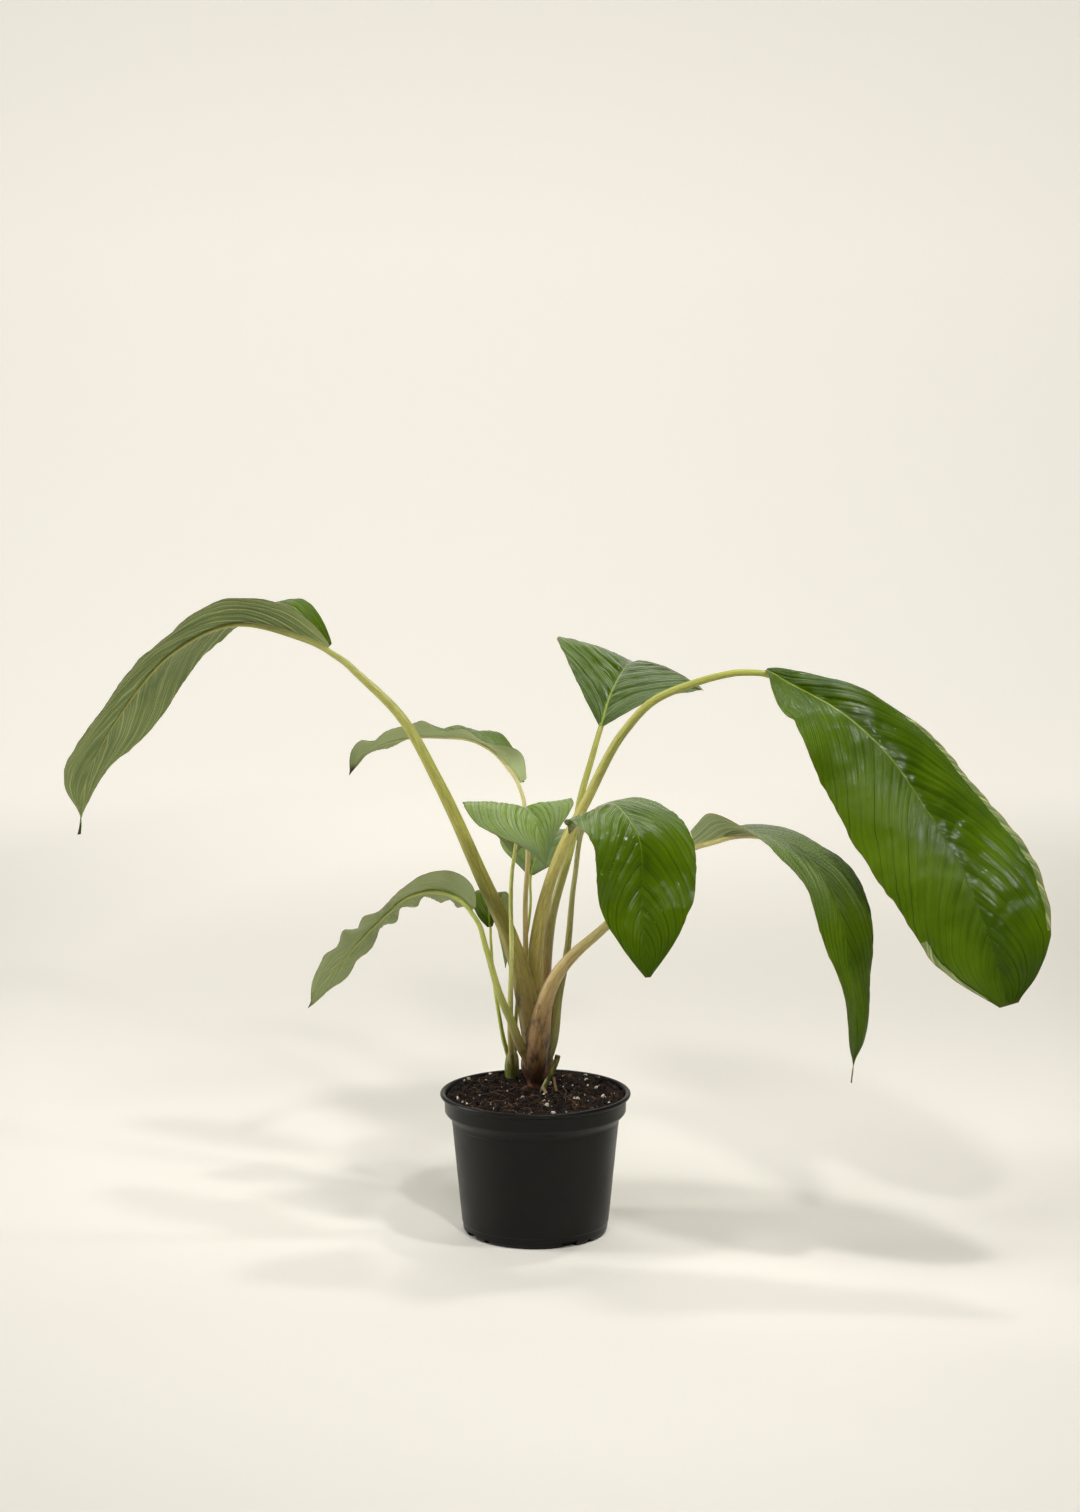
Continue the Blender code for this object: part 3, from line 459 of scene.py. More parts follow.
def half_blade(leaf, line, rows, out, side, look, seed):
    """One half of the sheet, rib to margin, as points (rows, out, 3), with its vein numbers.

    Across the half the sheet's direction is lift + curl * out, added up in small steps. Side
    veins are the lines where (distance along the rib - reach * (0.6 out + 0.4 out^2.2)) is a
    whole number of vein gaps. The sheet is folded down at them and, less, at the half and
    quarter numbers. It also swells, puckers and ripples, most at its margin.
    """
    sign = 1.0 if side == "left" else -1.0
    place, _, left, up = line.at(line.stalk_length + rows * line.rib_length)
    width = np.maximum(station_values(leaf, side, rows), NARROWEST)[:, None]
    # The noise of each half is read far from the other's, so that the halves differ
    edge = np.outer(rows * line.rib_length, (1, 0, 0)) + (0.0, 50.0 * sign, 0.0)
    fine, slow = (size * value_noise(edge, cell, seed + key) for size, cell, key in WIDTH_NOISE)
    width = width * (1.0 + fine + slow)[:, None]
    for at, spread, depth in leaf.get("nicks_" + side, ()):
        width = width - (depth * np.exp(-(((rows - at) / spread) ** 2)))[:, None]
    lift, curl = (np.radians(station_values(leaf, name + side, rows))[:, None]
                  for name in ("lift_", "curl_"))
    turned = lift + curl * ((out[1:] + out[:-1]) / 2)
    start = np.zeros((len(rows), 1))
    sideways, upwards = (
        width * np.concatenate((start, np.cumsum(part(turned) * np.diff(out), axis=1)), axis=1)
        for part in (np.cos, np.sin))

    reach = leaf["reach"] * line.rib_length
    along = rows[:, None] * line.rib_length
    flow = np.stack(np.broadcast_arrays(along, sign * 500.0 + out * 40.0, 0.0), axis=-1)

    def noise(cell, key):
        """Noise that follows the blade's own directions: along the rib, and out from it."""
        return value_noise(flow.reshape(-1, 3), cell, seed + key).reshape(along.size, -1)

    ahead = reach * (0.6 * out + 0.4 * out**2.2)
    number = (along - ahead) / leaf["vein_gap"] + 0.16 * noise(55.0, 1)
    slope = reach * (0.6 + 0.88 * out**1.2) / width
    per_mm = np.sqrt(1.0 + slope**2) / leaf["vein_gap"]

    ends = np.sqrt(np.sin(np.pi * np.clip(rows, 0.0, 1.0)))[:, None]
    folds = sum(size * (0.75 + 0.75 * noise(cell, key))
                * (np.abs(np.sin(np.pi * count * number)) ** 0.8 - 0.6)
                for count, size, cell, key in FOLDS)
    fade = ends * smooth_step(0.0, 0.12, out) * (1.0 - 0.6 * smooth_step(0.35, 1.0, out))
    waves, wave_height = leaf.get("waves", (0, 0.0))
    phase = 2 * np.pi * waves * rows[:, None] + 1.6 * noise(40.0, 8)
    ruffle = wave_height * ends * np.sin(phase) * (1.0 + 0.7 * noise(30.0, 9)) * out**2
    pleats, swell = leaf["pleats"][side == "right"], leaf["swell"]
    raised = look.pleats * pleats * fade * folds + ruffle
    raised = raised + swell * ends * (noise(26.0, 3) + 0.5 * noise(11.0, 4)) * out**2.5
    raised = raised + 0.5 * swell * noise(45.0, 5) * smooth_step(0.1, 0.5, out) * ends
    pucker = noise(13.0, 21) + 0.6 * noise(7.0, 22)
    raised = raised + 0.45 * pleats * pucker * fade
    for margin, start, end, part in leaf.get("rolled", ()):
        if margin == side:
            stretch = smooth_step(start - 0.04, start + 0.04, rows)
            stretch = stretch * smooth_step(end + 0.04, end - 0.04, rows)
            crease = np.exp(-(((out - part) / 0.02) ** 2))
            raised = raised + ROLL_HEIGHT * stretch[:, None] * (smooth_step(part, 1.0, out) - 0.6 * crease)
    turned = lift + curl * out
    sideways = sideways - np.sin(turned) * raised
    upwards = upwards + np.cos(turned) * raised
    points = place[:, None] + left[:, None] * (sign * sideways)[..., None] + up[:, None] * upwards[..., None]
    return points, number, sign * width * out, per_mm


def inside(points):
    """Points in millimetres kept within the model's own box."""
    low, high = (np.array(corner) / MM for corner in cad_box)
    return np.clip(points, low + 0.05, high - 0.05)


def blade_piece(name, leaf, look, materials, seed):
    """A closed thin sheet: the two halves in one grid, set off to both sides by half its thickness.

    Its points carry veins (vein number, millimetres from the rib, vein numbers in a millimetre),
    blade (share of the rib, share of the half, lightness with painted shade), how dry and dull it is, and
    its painted sheen.
    """
    line = LeafLine(leaf)
    step = look.grid_step / MM
    rows = np.linspace(BLADE_START, BLADE_END, int(line.rib_length / step) + 2)
    widest = max(max(leaf["left"]), max(leaf["right"]))
    out = np.linspace(0.0, 1.0, int(widest / step) + 2)
    halves = [half_blade(leaf, line, rows, out, side, look, seed) for side in ("right", "left")]
    points, number, across, per_mm = (
        np.concatenate((right[:, :0:-1], left), axis=1) for right, left in zip(*halves))
    share = np.concatenate((-out[:0:-1], out))
    facing = np.cross(np.gradient(points, axis=0), np.gradient(points, axis=1))
    facing /= np.maximum(np.linalg.norm(facing, axis=2), 1e-9)[..., None]
    half = 0.5 * look.thickness / MM * (1.0 - 0.5 * np.abs(share) ** 3)[None, :, None]

    index = np.arange(number.size).reshape(number.shape)
    top = grid_faces(*number.shape)
    rim = np.concatenate((index[0, :-1], index[:-1, -1], index[-1, :0:-1], index[:0:-1, 0]))
    after = np.roll(rim, -1)
    side = np.stack((rim, after, after + number.size, rim + number.size), axis=1)
    faces = np.concatenate((top[:, ::-1], top + number.size, side))
    # Faces with the underside's skin: all of the lower sheet, the rim, and a margin where it rolls
    rolled = np.zeros((len(rows) - 1, len(share) - 1), bool)
    for margin, start, end, part in leaf.get("rolled", ()):
        sign = 1.0 if margin == "left" else -1.0
        rolled |= ((rows[:-1] > start) & (rows[:-1] < end))[:, None] & (sign * share[:-1] > part)[None]
    under = np.concatenate((rolled.ravel(), np.ones(len(top)), np.ones(len(side))))

    along, spread = np.broadcast_arrays(rows[:, None], share[None, :])
    right_side = smooth_step(0.02, -0.02, spread)
    tone, dull = (left + (right - left) * right_side
                  for left, right in (leaf["tones"][:2], leaf.get("dull", (0.0, 0.0))))
    # Painted shade: the blade is darkened along its rib
    tone = tone - PAINTED_RIB_SHADE * np.exp(-((spread / 0.3) ** 2))
    dull = dull + 0.05 * along
    # Painted sheen: pale streaks on the ridges between fine veins, up to a share of the rib
    level, end = leaf.get("frost", (0.0, 0.5))
    frost = level * smooth_step(end + 0.15, end - 0.15, along)
    dry = smooth_step(leaf.get("dry", 1.0) - 0.02, leaf.get("dry", 1.0) + 0.02, along)
    places = [np.stack((along, spread, value), axis=-1).reshape(-1, 3)
              for value in (tone, np.full(number.shape, leaf["tones"][2]))]
    veins = np.stack((number, across, per_mm), axis=-1).reshape(-1, 3)
    both = np.concatenate([(points + sign * facing * half).reshape(-1, 3) for sign in (1.0, -1.0)])
    return make_mesh(
        name, inside(both), faces.tolist(), materials, under, veins=np.tile(veins, (2, 1)),
        blade=np.concatenate(places), dry=np.tile(dry.ravel(), 2), dull=np.tile(dull.ravel(), 2),
        frost=np.tile(frost.ravel(), 2))


def stalk_radius(leaf, line, run):
    """The smooth curve through the stalk's radii, which are given at even spaces along it."""
    along = np.linspace(0.0, line.stalk_length, len(leaf["girth"]))
    return smooth_values(along, leaf["girth"], np.minimum(run, line.stalk_length))[:, 0]


def stalk_rings(leaf, line, run, around, seed, wrinkle=0.0):
    """Rings of a stalk: its radius times (1 + fine ridges + slow unevenness), round its line.

    Past the end of the free stalk the line drops to the blade's underside, and thins out.
    """
    place, _, left, up = line.at(run)
    share = np.clip((run - line.stalk_length) / line.rib_length, 0.0, 1.0)
    top = leaf["girth"][-1]
    radius = stalk_radius(leaf, line, run) * np.interp(share, (0.0, KEEL_END), (1.0, KEEL_TIP / top))
    lifts = (station_values(leaf, name, share) for name in ("lift_left", "lift_right"))
    half_turn = np.radians(0.5 * np.subtract(*lifts))[:, None]
    under = left * np.sin(half_turn) - up * np.cos(half_turn)
    ramp = smooth_step(0.0, 1.0, 1.0 - (line.stalk_length - run) / (10.0 * top))
    place = place + under * ((radius + KEEL_GAP) * ramp)[:, None]
    turn = circle(around)
    count, depth = leaf.get("ribs", (7, 0.02))
    flow = np.broadcast_arrays(run[:, None] / 14.0, np.cos(turn) * 1.4, np.sin(turn) * 1.4)
    flow = np.stack(flow, axis=-1).reshape(-1, 3) + seed
    uneven = value_noise(flow, 1.0, seed).reshape(len(run), around)
    creases = np.cos(turn * count + 0.3 * np.sin(run / 40.0)[:, None])
    size = radius[:, None] * (1.0 + depth * creases + (0.02 + wrinkle) * uneven)
    return rings_round(place, left, up, size, around)


def closed_values(values, rows, around):
    """Values for closed_tube's points: the two end points take those of their rings."""
    return np.concatenate((values, values[:1], values[(rows - 1) * around:][:1]))


def stalk_parts(leaf, line, run, around, seed, wrinkle=0.0):
    """A closed stalk with its points' colours, and their (length along, share of the turn, radius)."""
    codes = np.array([hex_colour(code)[:3] for code in leaf["tints"]])
    at = np.linspace(0.0, line.stalk_length, len(codes))
    colour = smooth_values(at, codes, np.minimum(run, line.stalk_length))
    colour = np.repeat(np.clip(colour, 0.001, 1.0), around, axis=0)
    turn = np.linspace(0.0, 1.0, around, endpoint=False)
    flow = np.broadcast_arrays(run[:, None], turn[None], stalk_radius(leaf, line, run)[:, None])
    flow = np.stack(flow, axis=-1).reshape(-1, 3)
    tube = closed_tube(stalk_rings(leaf, line, run, around, seed, wrinkle))
    return tube, *(closed_values(values, len(run), around) for values in (colour, flow))


def stalk_piece(name, leaf, materials, seed):
    """The free stalk from its crown to the blade, and on under the blade as its raised rib."""
    line = LeafLine(leaf)
    free = np.arange(line.run_at_height(leaf["leaves_at"]), line.stalk_length, STALK_STEP)
    keel = line.stalk_length + line.rib_length * np.linspace(0.0, KEEL_END, KEEL_RINGS)
    tube, colour, flow = stalk_parts(leaf, line, np.concatenate((free, keel)), STALK_SIDES, seed)
    return make_mesh(name, *tube, materials, tint=colour, flow=flow)


# Materials

# A texture's scale counts its cells in a metre: 24 gives cells of 42 mm, 35 of 29 mm, 170 of 6 mm,
# 300 of 3.3 mm, 420 of 2.4 mm, 500 of 2 mm, 700 of 1.4 mm, 900 of 1.1 mm and 1500 of 0.7 mm.

def fill(tree, node, inputs):
    """Sets a node's sockets to values, or links them to an output or to a node's output in use."""
    for socket, value in dict(inputs).items():
        if isinstance(value, bpy.types.Node):
            value = next(output for output in value.outputs if output.enabled)
        if isinstance(value, bpy.types.NodeSocket):
            tree.links.new(value, node.inputs[socket])
        else:
            node.inputs[socket].default_value = value


def add(tree, kind, inputs=(), **settings):
    """Adds a shader node: settings are its options, inputs its sockets' values or sources."""
    node = tree.nodes.new("ShaderNode" + kind)
    for option, value in settings.items():
        setattr(node, option, value)
    fill(tree, node, inputs)
    return node


def new_material(name, **values):
    """A material, its nodes and its one shader; values are the shader's own, such as its IOR."""
    material = bpy.data.materials.new(name)
    material.use_nodes = True
    tree = material.node_tree
    shader = tree.nodes["Principled BSDF"]
    fill(tree, shader, {socket.replace("_", " "): value for socket, value in values.items()})
    return material, tree, shader


def line_mask(tree, number, scale, per_mm, inner, outer):
    """1 on the lines where number is a multiple of scale, 0 beyond outer millimetres from them."""
    away = add(tree, "Math", {0: number, 1: scale / 2}, operation="PINGPONG")
    away = add(tree, "Math", {0: away, 1: per_mm}, operation="DIVIDE")
    inputs = {"Value": away, "From Min": inner, "From Max": outer, "To Min": 1.0, "To Max": 0.0}
    return add(tree, "MapRange", inputs, interpolation_type="SMOOTHSTEP")


# Vein lines: their spacing in vein gaps, inner and outer half width in millimetres, strength
# On the upper face the lines are dark, painted shade in the sunken veins; on the underside they are the pale
# veins
UPPER_LINES = ((1.0, 0.1, 0.8, 0.45), (0.5, 0.0, 0.6, 0.3), (0.125, 0.0, 0.35, 0.2))
UNDER_LINES = ((1.0, 0.3, 0.9, 0.85), (0.25, 0.1, 0.5, 0.45), (0.0625, 0.0, 0.3, 0.2))
THREAD = 0.0625


def blade_material(name, dark, light, groove, rib, edge, roughness, depth, upper):
    """Leaf skin: a waxy cuticle over the blade. The upper face is glossy, its sunken veins drawn as dark
    lines of painted shade, with a painted sheen where set.

    The underside is duller, with pale raised veins. The vein numbers drive both.
    """
    gloss = 0.26 if upper else 0.15
    material, tree, shader = new_material(name, Roughness=roughness, IOR=1.4, Specular_IOR_Level=gloss)
    own = {key: add(tree, "Attribute", attribute_name=key)
           for key in ("veins", "blade", "frost", "dry", "dull")}
    number, across, per_mm = add(tree, "SeparateXYZ", {0: own["veins"].outputs["Vector"]}).outputs
    along, share, tone = add(tree, "SeparateXYZ", {0: own["blade"].outputs["Vector"]}).outputs
    frost, dry, dull = (own[key].outputs["Fac"] for key in ("frost", "dry", "dull"))

    # The green: streaks along the side veins and soft clouds, from dark to light
    flow = add(tree, "CombineXYZ", {0: number, 1: share, 2: tone})
    flow = add(tree, "Mapping", {"Vector": flow, "Scale": (5.0, 1.2, 3.0)})
    streaks = add(tree, "TexNoise", {"Vector": flow, "Scale": 1.0, "Detail": 5.0, "Roughness": 0.7})
    place = add(tree, "TexCoord").outputs["Object"]
    clouds = add(tree, "TexNoise", {"Vector": place, "Scale": 24.0, "Detail": 3.0})
    cells = add(tree, "TexNoise", {"Vector": place, "Scale": 1500.0, "Detail": 1.0})
    amount = add(tree, "Math", {0: streaks, 1: clouds}, operation="ADD")
    amount = add(tree, "MapRange", {
        "Value": amount, "From Min": 0.7, "From Max": 1.3, "To Min": -0.28, "To Max": 0.28})
    amount = add(tree, "Math", {0: amount, 1: tone}, operation="ADD", use_clamp=True)
    # Above 1, tone mixes the skin towards a whitish green: painted sheen, and painted light on faces in
    # shade
    pale = add(tree, "MapRange", {"Value": tone, "From Min": 1.0, "From Max": 2.0, "To Max": 1.0})
    layers = [(pale, hex_colour("#bccb92"))]

    # Vein lines, fainter where the blade is mixed pale; on the upper face they are painted shade in the
    # sunken veins. Then a painted sheen on the ridges between them
    uneven = add(tree, "MapRange", {"Value": streaks, "From Min": 0.4, "From Max": 0.62, "To Max": 1.7})
    for scale, inner, outer, strength in UPPER_LINES if upper else UNDER_LINES:
        on_line = line_mask(tree, number, scale, per_mm, inner, outer)
        faint = add(tree, "MapRange", {"Value": pale, "To Min": strength, "To Max": 0.15 * strength})
        faint = add(tree, "Math", {0: faint, 1: uneven}, operation="MULTIPLY")
        layers.append((add(tree, "Math", {0: on_line, 1: faint}, operation="MULTIPLY"), groove))
    # Painted sheen: pale streaks on the ridges between thread veins
    ridge_sheen = add(tree, "Math", {0: number, 1: THREAD}, operation="PINGPONG")
    ridge_sheen = add(tree, "MapRange", {"Value": ridge_sheen, "From Min": 0.03, "From Max": THREAD},
                interpolation_type="SMOOTHSTEP")
    ridge_sheen = add(tree, "Math", {0: ridge_sheen, 1: uneven}, operation="MULTIPLY")
    ridge_sheen = add(tree, "Math", {0: ridge_sheen, 1: frost}, operation="MULTIPLY", use_clamp=True)
    # The rib, which narrows and fades towards the tip, and the margin
    away = add(tree, "Math", {0: across}, operation="ABSOLUTE")
    rib_width = add(tree, "MapRange", {"Value": along, "From Max": 0.7, "To Min": 1.5, "To Max": 0.35})
    near_rib = add(tree, "MapRange", {
        "Value": away, "From Min": 0.2, "From Max": rib_width, "To Min": 1.0, "To Max": 0.0},
        interpolation_type="SMOOTHSTEP")
    rib_share = add(tree, "MapRange", {
        "Value": along, "From Max": 0.6, "To Min": 1.0, "To Max": 0.05 if upper else 0.6})
    near_rib = add(tree, "Math", {0: near_rib, 1: rib_share}, operation="MULTIPLY")
    out = add(tree, "Math", {0: share}, operation="ABSOLUTE")
    margin = add(tree, "MapRange", {"Value": out, "From Min": 0.98, "From Max": 0.997})
    layers += [(ridge_sheen, hex_colour("#b4bf9e")), (near_rib, rib), (margin, edge), (dry, hex_colour("#5e4a2a"))]
    skin = add(tree, "Mix", {0: amount, 6: dark, 7: light}, data_type="RGBA")
    for mask, colour in layers:
        skin = add(tree, "Mix", {0: mask, 6: skin, 7: colour}, data_type="RGBA")

    # Gloss, and the relief of fine veins and skin cells
    rough = add(tree, "MapRange", {"Value": clouds, "From Min": 0.35, "From Max": 0.65,
                                   "To Min": roughness - 0.03, "To Max": roughness + 0.06})
    rough = add(tree, "Math", {0: rough, 1: dull}, operation="ADD")
    panel = add(tree, "Math", {0: number, 1: 2 * THREAD}, operation="PINGPONG")
    panel = add(tree, "Math", {0: panel, 1: 0.6}, operation="POWER")
    thread = add(tree, "Math", {0: number, 1: THREAD / 2}, operation="PINGPONG")
    broken = add(tree, "MapRange", {"Value": streaks, "From Min": 0.4, "From Max": 0.6, "To Max": 1.3})
    thread = add(tree, "Math", {0: thread, 1: broken}, operation="MULTIPLY")
    height = add(tree, "Math", {0: panel, 1: broken, 2: thread}, operation="MULTIPLY_ADD")
    height = add(tree, "Math", {0: cells, 1: 0.02, 2: height}, operation="MULTIPLY_ADD")
    bump = add(tree, "Bump", {"Strength": 1.0, "Distance": depth * MM, "Height": height})
    fill(tree, shader, {"Base Color": skin, "Roughness": rough, "Normal": bump})
    return material


def stalk_material(name, roughness, blotches=0.0, wrinkles=0.25):
    """Living stalk skin: smooth and waxy, its colour from foot to blade with fine long streaks.

    Old sheaths have brown blotches, most near the soil, and deeper wrinkles along them.
    """
    material, tree, shader = new_material(name, Roughness=roughness, IOR=1.42)
    flow = add(tree, "Attribute", attribute_name="flow").outputs["Vector"]
    run, turn, _ = add(tree, "SeparateXYZ", {0: flow}).outputs
    angle = add(tree, "Math", {0: turn, 1: 2 * math.pi}, operation="MULTIPLY")
    round_x, round_y = (add(tree, "Math", {0: angle}, operation=part) for part in ("COSINE", "SINE"))
    slow = add(tree, "Math", {0: run, 1: 0.02}, operation="MULTIPLY")
    skin_place = add(tree, "CombineXYZ", {0: round_x, 1: round_y, 2: slow})
    streaks = add(tree, "TexNoise", {"Vector": skin_place, "Scale": 5.0, "Detail": 4.0, "Roughness": 0.65})
    place = add(tree, "TexCoord").outputs["Object"]
    specks = add(tree, "TexNoise", {"Vector": place, "Scale": 900.0, "Detail": 2.0})
    tint = add(tree, "Attribute", attribute_name="tint").outputs["Color"]
    gain = add(tree, "MapRange", {
        "Value": streaks, "From Min": 0.25, "From Max": 0.75, "To Min": 0.62, "To Max": 1.38})
    gain = add(tree, "CombineXYZ", {0: gain, 1: gain, 2: gain})
    skin = add(tree, "Mix", {0: 1.0, 6: tint, 7: gain}, data_type="RGBA", blend_type="MULTIPLY")
    # Painted shade: dark lines along the stalk's grooves
    groove = add(tree, "Math", {0: turn, 1: 1.0 / 18.0}, operation="PINGPONG")
    groove = add(tree, "MapRange", {"Value": groove, "From Max": 0.02, "To Min": 0.35, "To Max": 0.0})
    groove = add(tree, "Math", {0: groove, 1: streaks}, operation="MULTIPLY")
    stretched = add(tree, "Mapping", {"Vector": place, "Scale": (1.0, 1.0, 0.4)})
    patches = add(tree, "TexNoise", {"Vector": stretched, "Scale": 170.0, "Detail": 4.0, "Roughness": 0.65})
    low = add(tree, "SeparateXYZ", {0: place}).outputs["Z"]
    low = add(tree, "MapRange", {
        "Value": low, "From Min": 0.11, "From Max": 0.2, "To Min": 0.12, "To Max": -0.1})
    patches = add(tree, "Math", {0: patches, 1: low}, operation="ADD")
    old = add(tree, "MapRange", {"Value": patches, "From Min": 0.47, "From Max": 0.68, "To Max": blotches})
    dots = add(tree, "MapRange", {"Value": specks, "From Min": 0.62, "From Max": 0.72, "To Max": 0.3})
    for mask, code in ((groove, "#3c4a14"), (old, "#2c1c12"), (dots, "#4a3a1e")):
        skin = add(tree, "Mix", {0: mask, 6: skin, 7: hex_colour(code)}, data_type="RGBA")
    bump = add(tree, "Bump", {"Strength": 0.8, "Distance": wrinkles * MM, "Height": streaks})
    fill(tree, shader, {"Base Color": skin, "Normal": bump})
    return material


def grain_material(name, dark, light, roughness, scale, depth):
    """Rough crumbly matter: its colour runs from dark to light from piece to piece and inside one."""
    material, tree, shader = new_material(name, Roughness=roughness, IOR=1.4)
    place = add(tree, "TexCoord").outputs["Object"]
    patches = add(tree, "TexNoise", {"Vector": place, "Scale": scale, "Detail": 4.0, "Roughness": 0.7})
    own = add(tree, "Attribute", attribute_name="shade").outputs["Fac"]
    amount = add(tree, "Math", {0: patches, 1: own}, operation="ADD")
    amount = add(tree, "MapRange", {"Value": amount, "From Min": 0.5, "From Max": 1.4})
    skin = add(tree, "Mix", {0: amount, 6: hex_colour(dark), 7: hex_colour(light)}, data_type="RGBA")
    bump = add(tree, "Bump", {"Strength": 1.0, "Distance": depth * MM, "Height": patches})
    fill(tree, shader, {"Base Color": skin, "Normal": bump})
    return material


def pot_material(look):
    """Injection-moulded black polypropylene: satin, with a faint grain and dull smudges."""
    material, tree, shader = new_material(
        "moulded_black_polypropylene", Roughness=look.roughness, IOR=1.49, Specular_IOR_Level=0.19)
    place = add(tree, "TexCoord").outputs["Object"]
    stretched = add(tree, "Mapping", {"Vector": place, "Scale": (1.0, 1.0, 0.15)})
    grain = add(tree, "TexNoise", {"Vector": stretched, "Scale": 900.0, "Detail": 3.0})
    smudges = add(tree, "TexNoise", {"Vector": place, "Scale": 35.0, "Detail": 3.0, "Roughness": 0.6})
    tone = add(tree, "MapRange", {"Value": smudges, "From Min": 0.3, "From Max": 0.75})
    plastic = tuple(look.colour) + (1.0,)
    skin = add(tree, "Mix", {0: tone, 6: plastic, 7: hex_colour("#121210")}, data_type="RGBA")
    rough = add(tree, "MapRange", {"Value": smudges, "From Min": 0.3, "From Max": 0.7,
                                   "To Min": look.roughness - 0.05, "To Max": look.roughness + 0.08})
    bump = add(tree, "Bump", {"Strength": 0.25, "Distance": 0.05 * MM, "Height": grain})
    fill(tree, shader, {"Base Color": skin, "Roughness": rough, "Normal": bump})
    return material


# Pot, soil and crown

def wall_radius(height, inset=0.0):
    """The radius of the pot's tapered wall at a height, less an inset."""
    share = (height - FOOT_STEP) / (WALL_TOP - FOOT_STEP)
    return FOOT_RADIUS + 0.5 + (WALL_TOP_RADIUS - FOOT_RADIUS - 0.5) * share - inset


def turned(profile, around, centre=(0.0, 0.0)):
    """Points and faces of a profile turned round the vertical line through centre.

    The profile starts and ends on that line, and both ends are closed with one point.
    """
    profile = np.asarray(profile, float)
    turn = circle(around)
    body = profile[1:-1]
    rings = np.stack(np.broadcast_arrays(
        body[:, :1] * np.cos(turn), body[:, :1] * np.sin(turn), body[:, 1:]), axis=-1)
    points, faces = closed_tube(rings)
    points[-2, 2], points[-1, 2] = profile[0, 1], profile[-1, 1]
    points[:, :2] += centre
    return points, [face[::-1] for face in faces]


def eased_profile(corners, share=0.35, steps=4):
    """A profile with each inner corner rounded by a short curve between its two edges.

    The curve is a parabola that starts and ends at a share of the shorter edge, or of 4 mm where
    that is less, from the corner.
    """
    corners = np.asarray(corners, float)
    result = [corners[:1]]
    u = np.linspace(0.0, 1.0, steps + 1)[:, None]
    for before, corner, after in zip(corners[:-2], corners[1:-1], corners[2:]):
        reach = share * min(np.linalg.norm(before - corner), np.linalg.norm(after - corner), 4.0)
        start = corner + (before - corner) / np.linalg.norm(before - corner) * reach
        end = corner + (after - corner) / np.linalg.norm(after - corner) * reach
        result.append((1 - u) ** 2 * start + 2 * u * (1 - u) * corner + u**2 * end)
    result.append(corners[-1:])
    return np.concatenate(result)


def box_points(size, radius, azimuth):
    """The eight corners of a box that stands across a radius, and its six faces."""
    corners = np.array([(x, y, z) for x in (-0.5, 0.5) for y in (-0.5, 0.5) for z in (-0.5, 0.5)])
    corners = corners * size + (radius, 0.0, 0.0)
    cosine, sine = math.cos(math.radians(azimuth)), math.sin(math.radians(azimuth))
    spin = np.array(((cosine, sine, 0), (-sine, cosine, 0), (0, 0, 1)))
    faces = [(0, 1, 3, 2), (4, 6, 7, 5), (0, 4, 5, 1), (2, 3, 7, 6), (0, 2, 6, 4), (1, 5, 7, 3)]
    return corners @ spin, [list(face) for face in faces]


def pot_piece(look):
    """The pot: a profile from its floor's middle up inside and down outside, and drain cuts."""
    inner_top = WALL_TOP - 1.0
    corners = (
        (0.0, FLOOR), (FOOT_RADIUS - 4.0, FLOOR), (wall_radius(4.0, WALL), 4.0),
        (wall_radius(inner_top, WALL), inner_top), (COLLAR_RADIUS - WALL, COLLAR_BOTTOM - 0.5),
        (COLLAR_RADIUS - WALL + 0.2, POT_HEIGHT - 3.0), (COLLAR_RADIUS, POT_HEIGHT - 0.9),
        (LIP_RADIUS - 2.0, POT_HEIGHT), (LIP_RADIUS - 0.6, POT_HEIGHT - 0.6), (LIP_RADIUS, POT_HEIGHT - 2.0),
        (LIP_RADIUS - 0.6, POT_HEIGHT - 3.4), (LIP_RADIUS - 2.0, POT_HEIGHT - 4.2),
        (COLLAR_RADIUS + 0.3, POT_HEIGHT - 5.0), (COLLAR_RADIUS, COLLAR_BOTTOM + 1.2),
        (COLLAR_RADIUS - 0.7, COLLAR_BOTTOM), (WALL_TOP_RADIUS + 0.6, WALL_TOP + 0.8),
        (WALL_TOP_RADIUS, WALL_TOP - 0.8),
        # A fine mould line round the wall
        (wall_radius(88.4), 88.4), (wall_radius(88.1, -0.12), 88.1), (wall_radius(87.9, -0.12), 87.9),
        (wall_radius(87.6), 87.6), (wall_radius(FOOT_STEP), FOOT_STEP),
        (FOOT_RADIUS, FOOT_STEP - 0.8), (FOOT_RADIUS - 0.5, 3.0), (FOOT_RADIUS - 1.8, 0.8),
        (FOOT_RADIUS - 4.0, 0.0), (0.0, 0.0),
    )
    points, faces = turned(eased_profile(corners), look.sides)
    pot = make_mesh("nursery_pot", points, faces, [pot_material(look)])
    boxes = []
    for k in range(4):
        azimuth = NOTCH_AZIMUTH + 90.0 * k
        boxes.append(box_points(NOTCH_SIZE, FOOT_RADIUS - 2.0, azimuth))
        boxes.append(box_points(SLOT_SIZE, FOOT_RADIUS - 1.0, azimuth + SLOT_TURN))
    cutter = make_mesh("drain_cutter", *joined(boxes), [], flat=True)
    step = pot.modifiers.new("drains", "BOOLEAN")
    step.operation, step.solver, step.object = "DIFFERENCE", "EXACT", cutter
    graph = bpy.context.evaluated_depsgraph_get()
    mesh = bpy.data.meshes.new_from_object(pot.evaluated_get(graph))
    pot.modifiers.clear()
    pot.data = mesh
    mesh.shade_smooth()
    mesh.set_sharp_from_angle(angle=math.radians(40))
    bpy.data.objects.remove(cutter, do_unlink=True)
    return pot


def soil_height(x, y):
    """The soil rises smoothly towards the back and has low lumps."""
    rise = SOIL_RISE * smooth_step(-30.0, 55.0, y)
    lumps = np.sin(0.19 * x + 0.8) * np.cos(0.23 * y - 0.4) + 0.6 * np.sin(0.31 * y + 0.27 * x)
    return SOIL_FRONT + rise + 0.7 * lumps


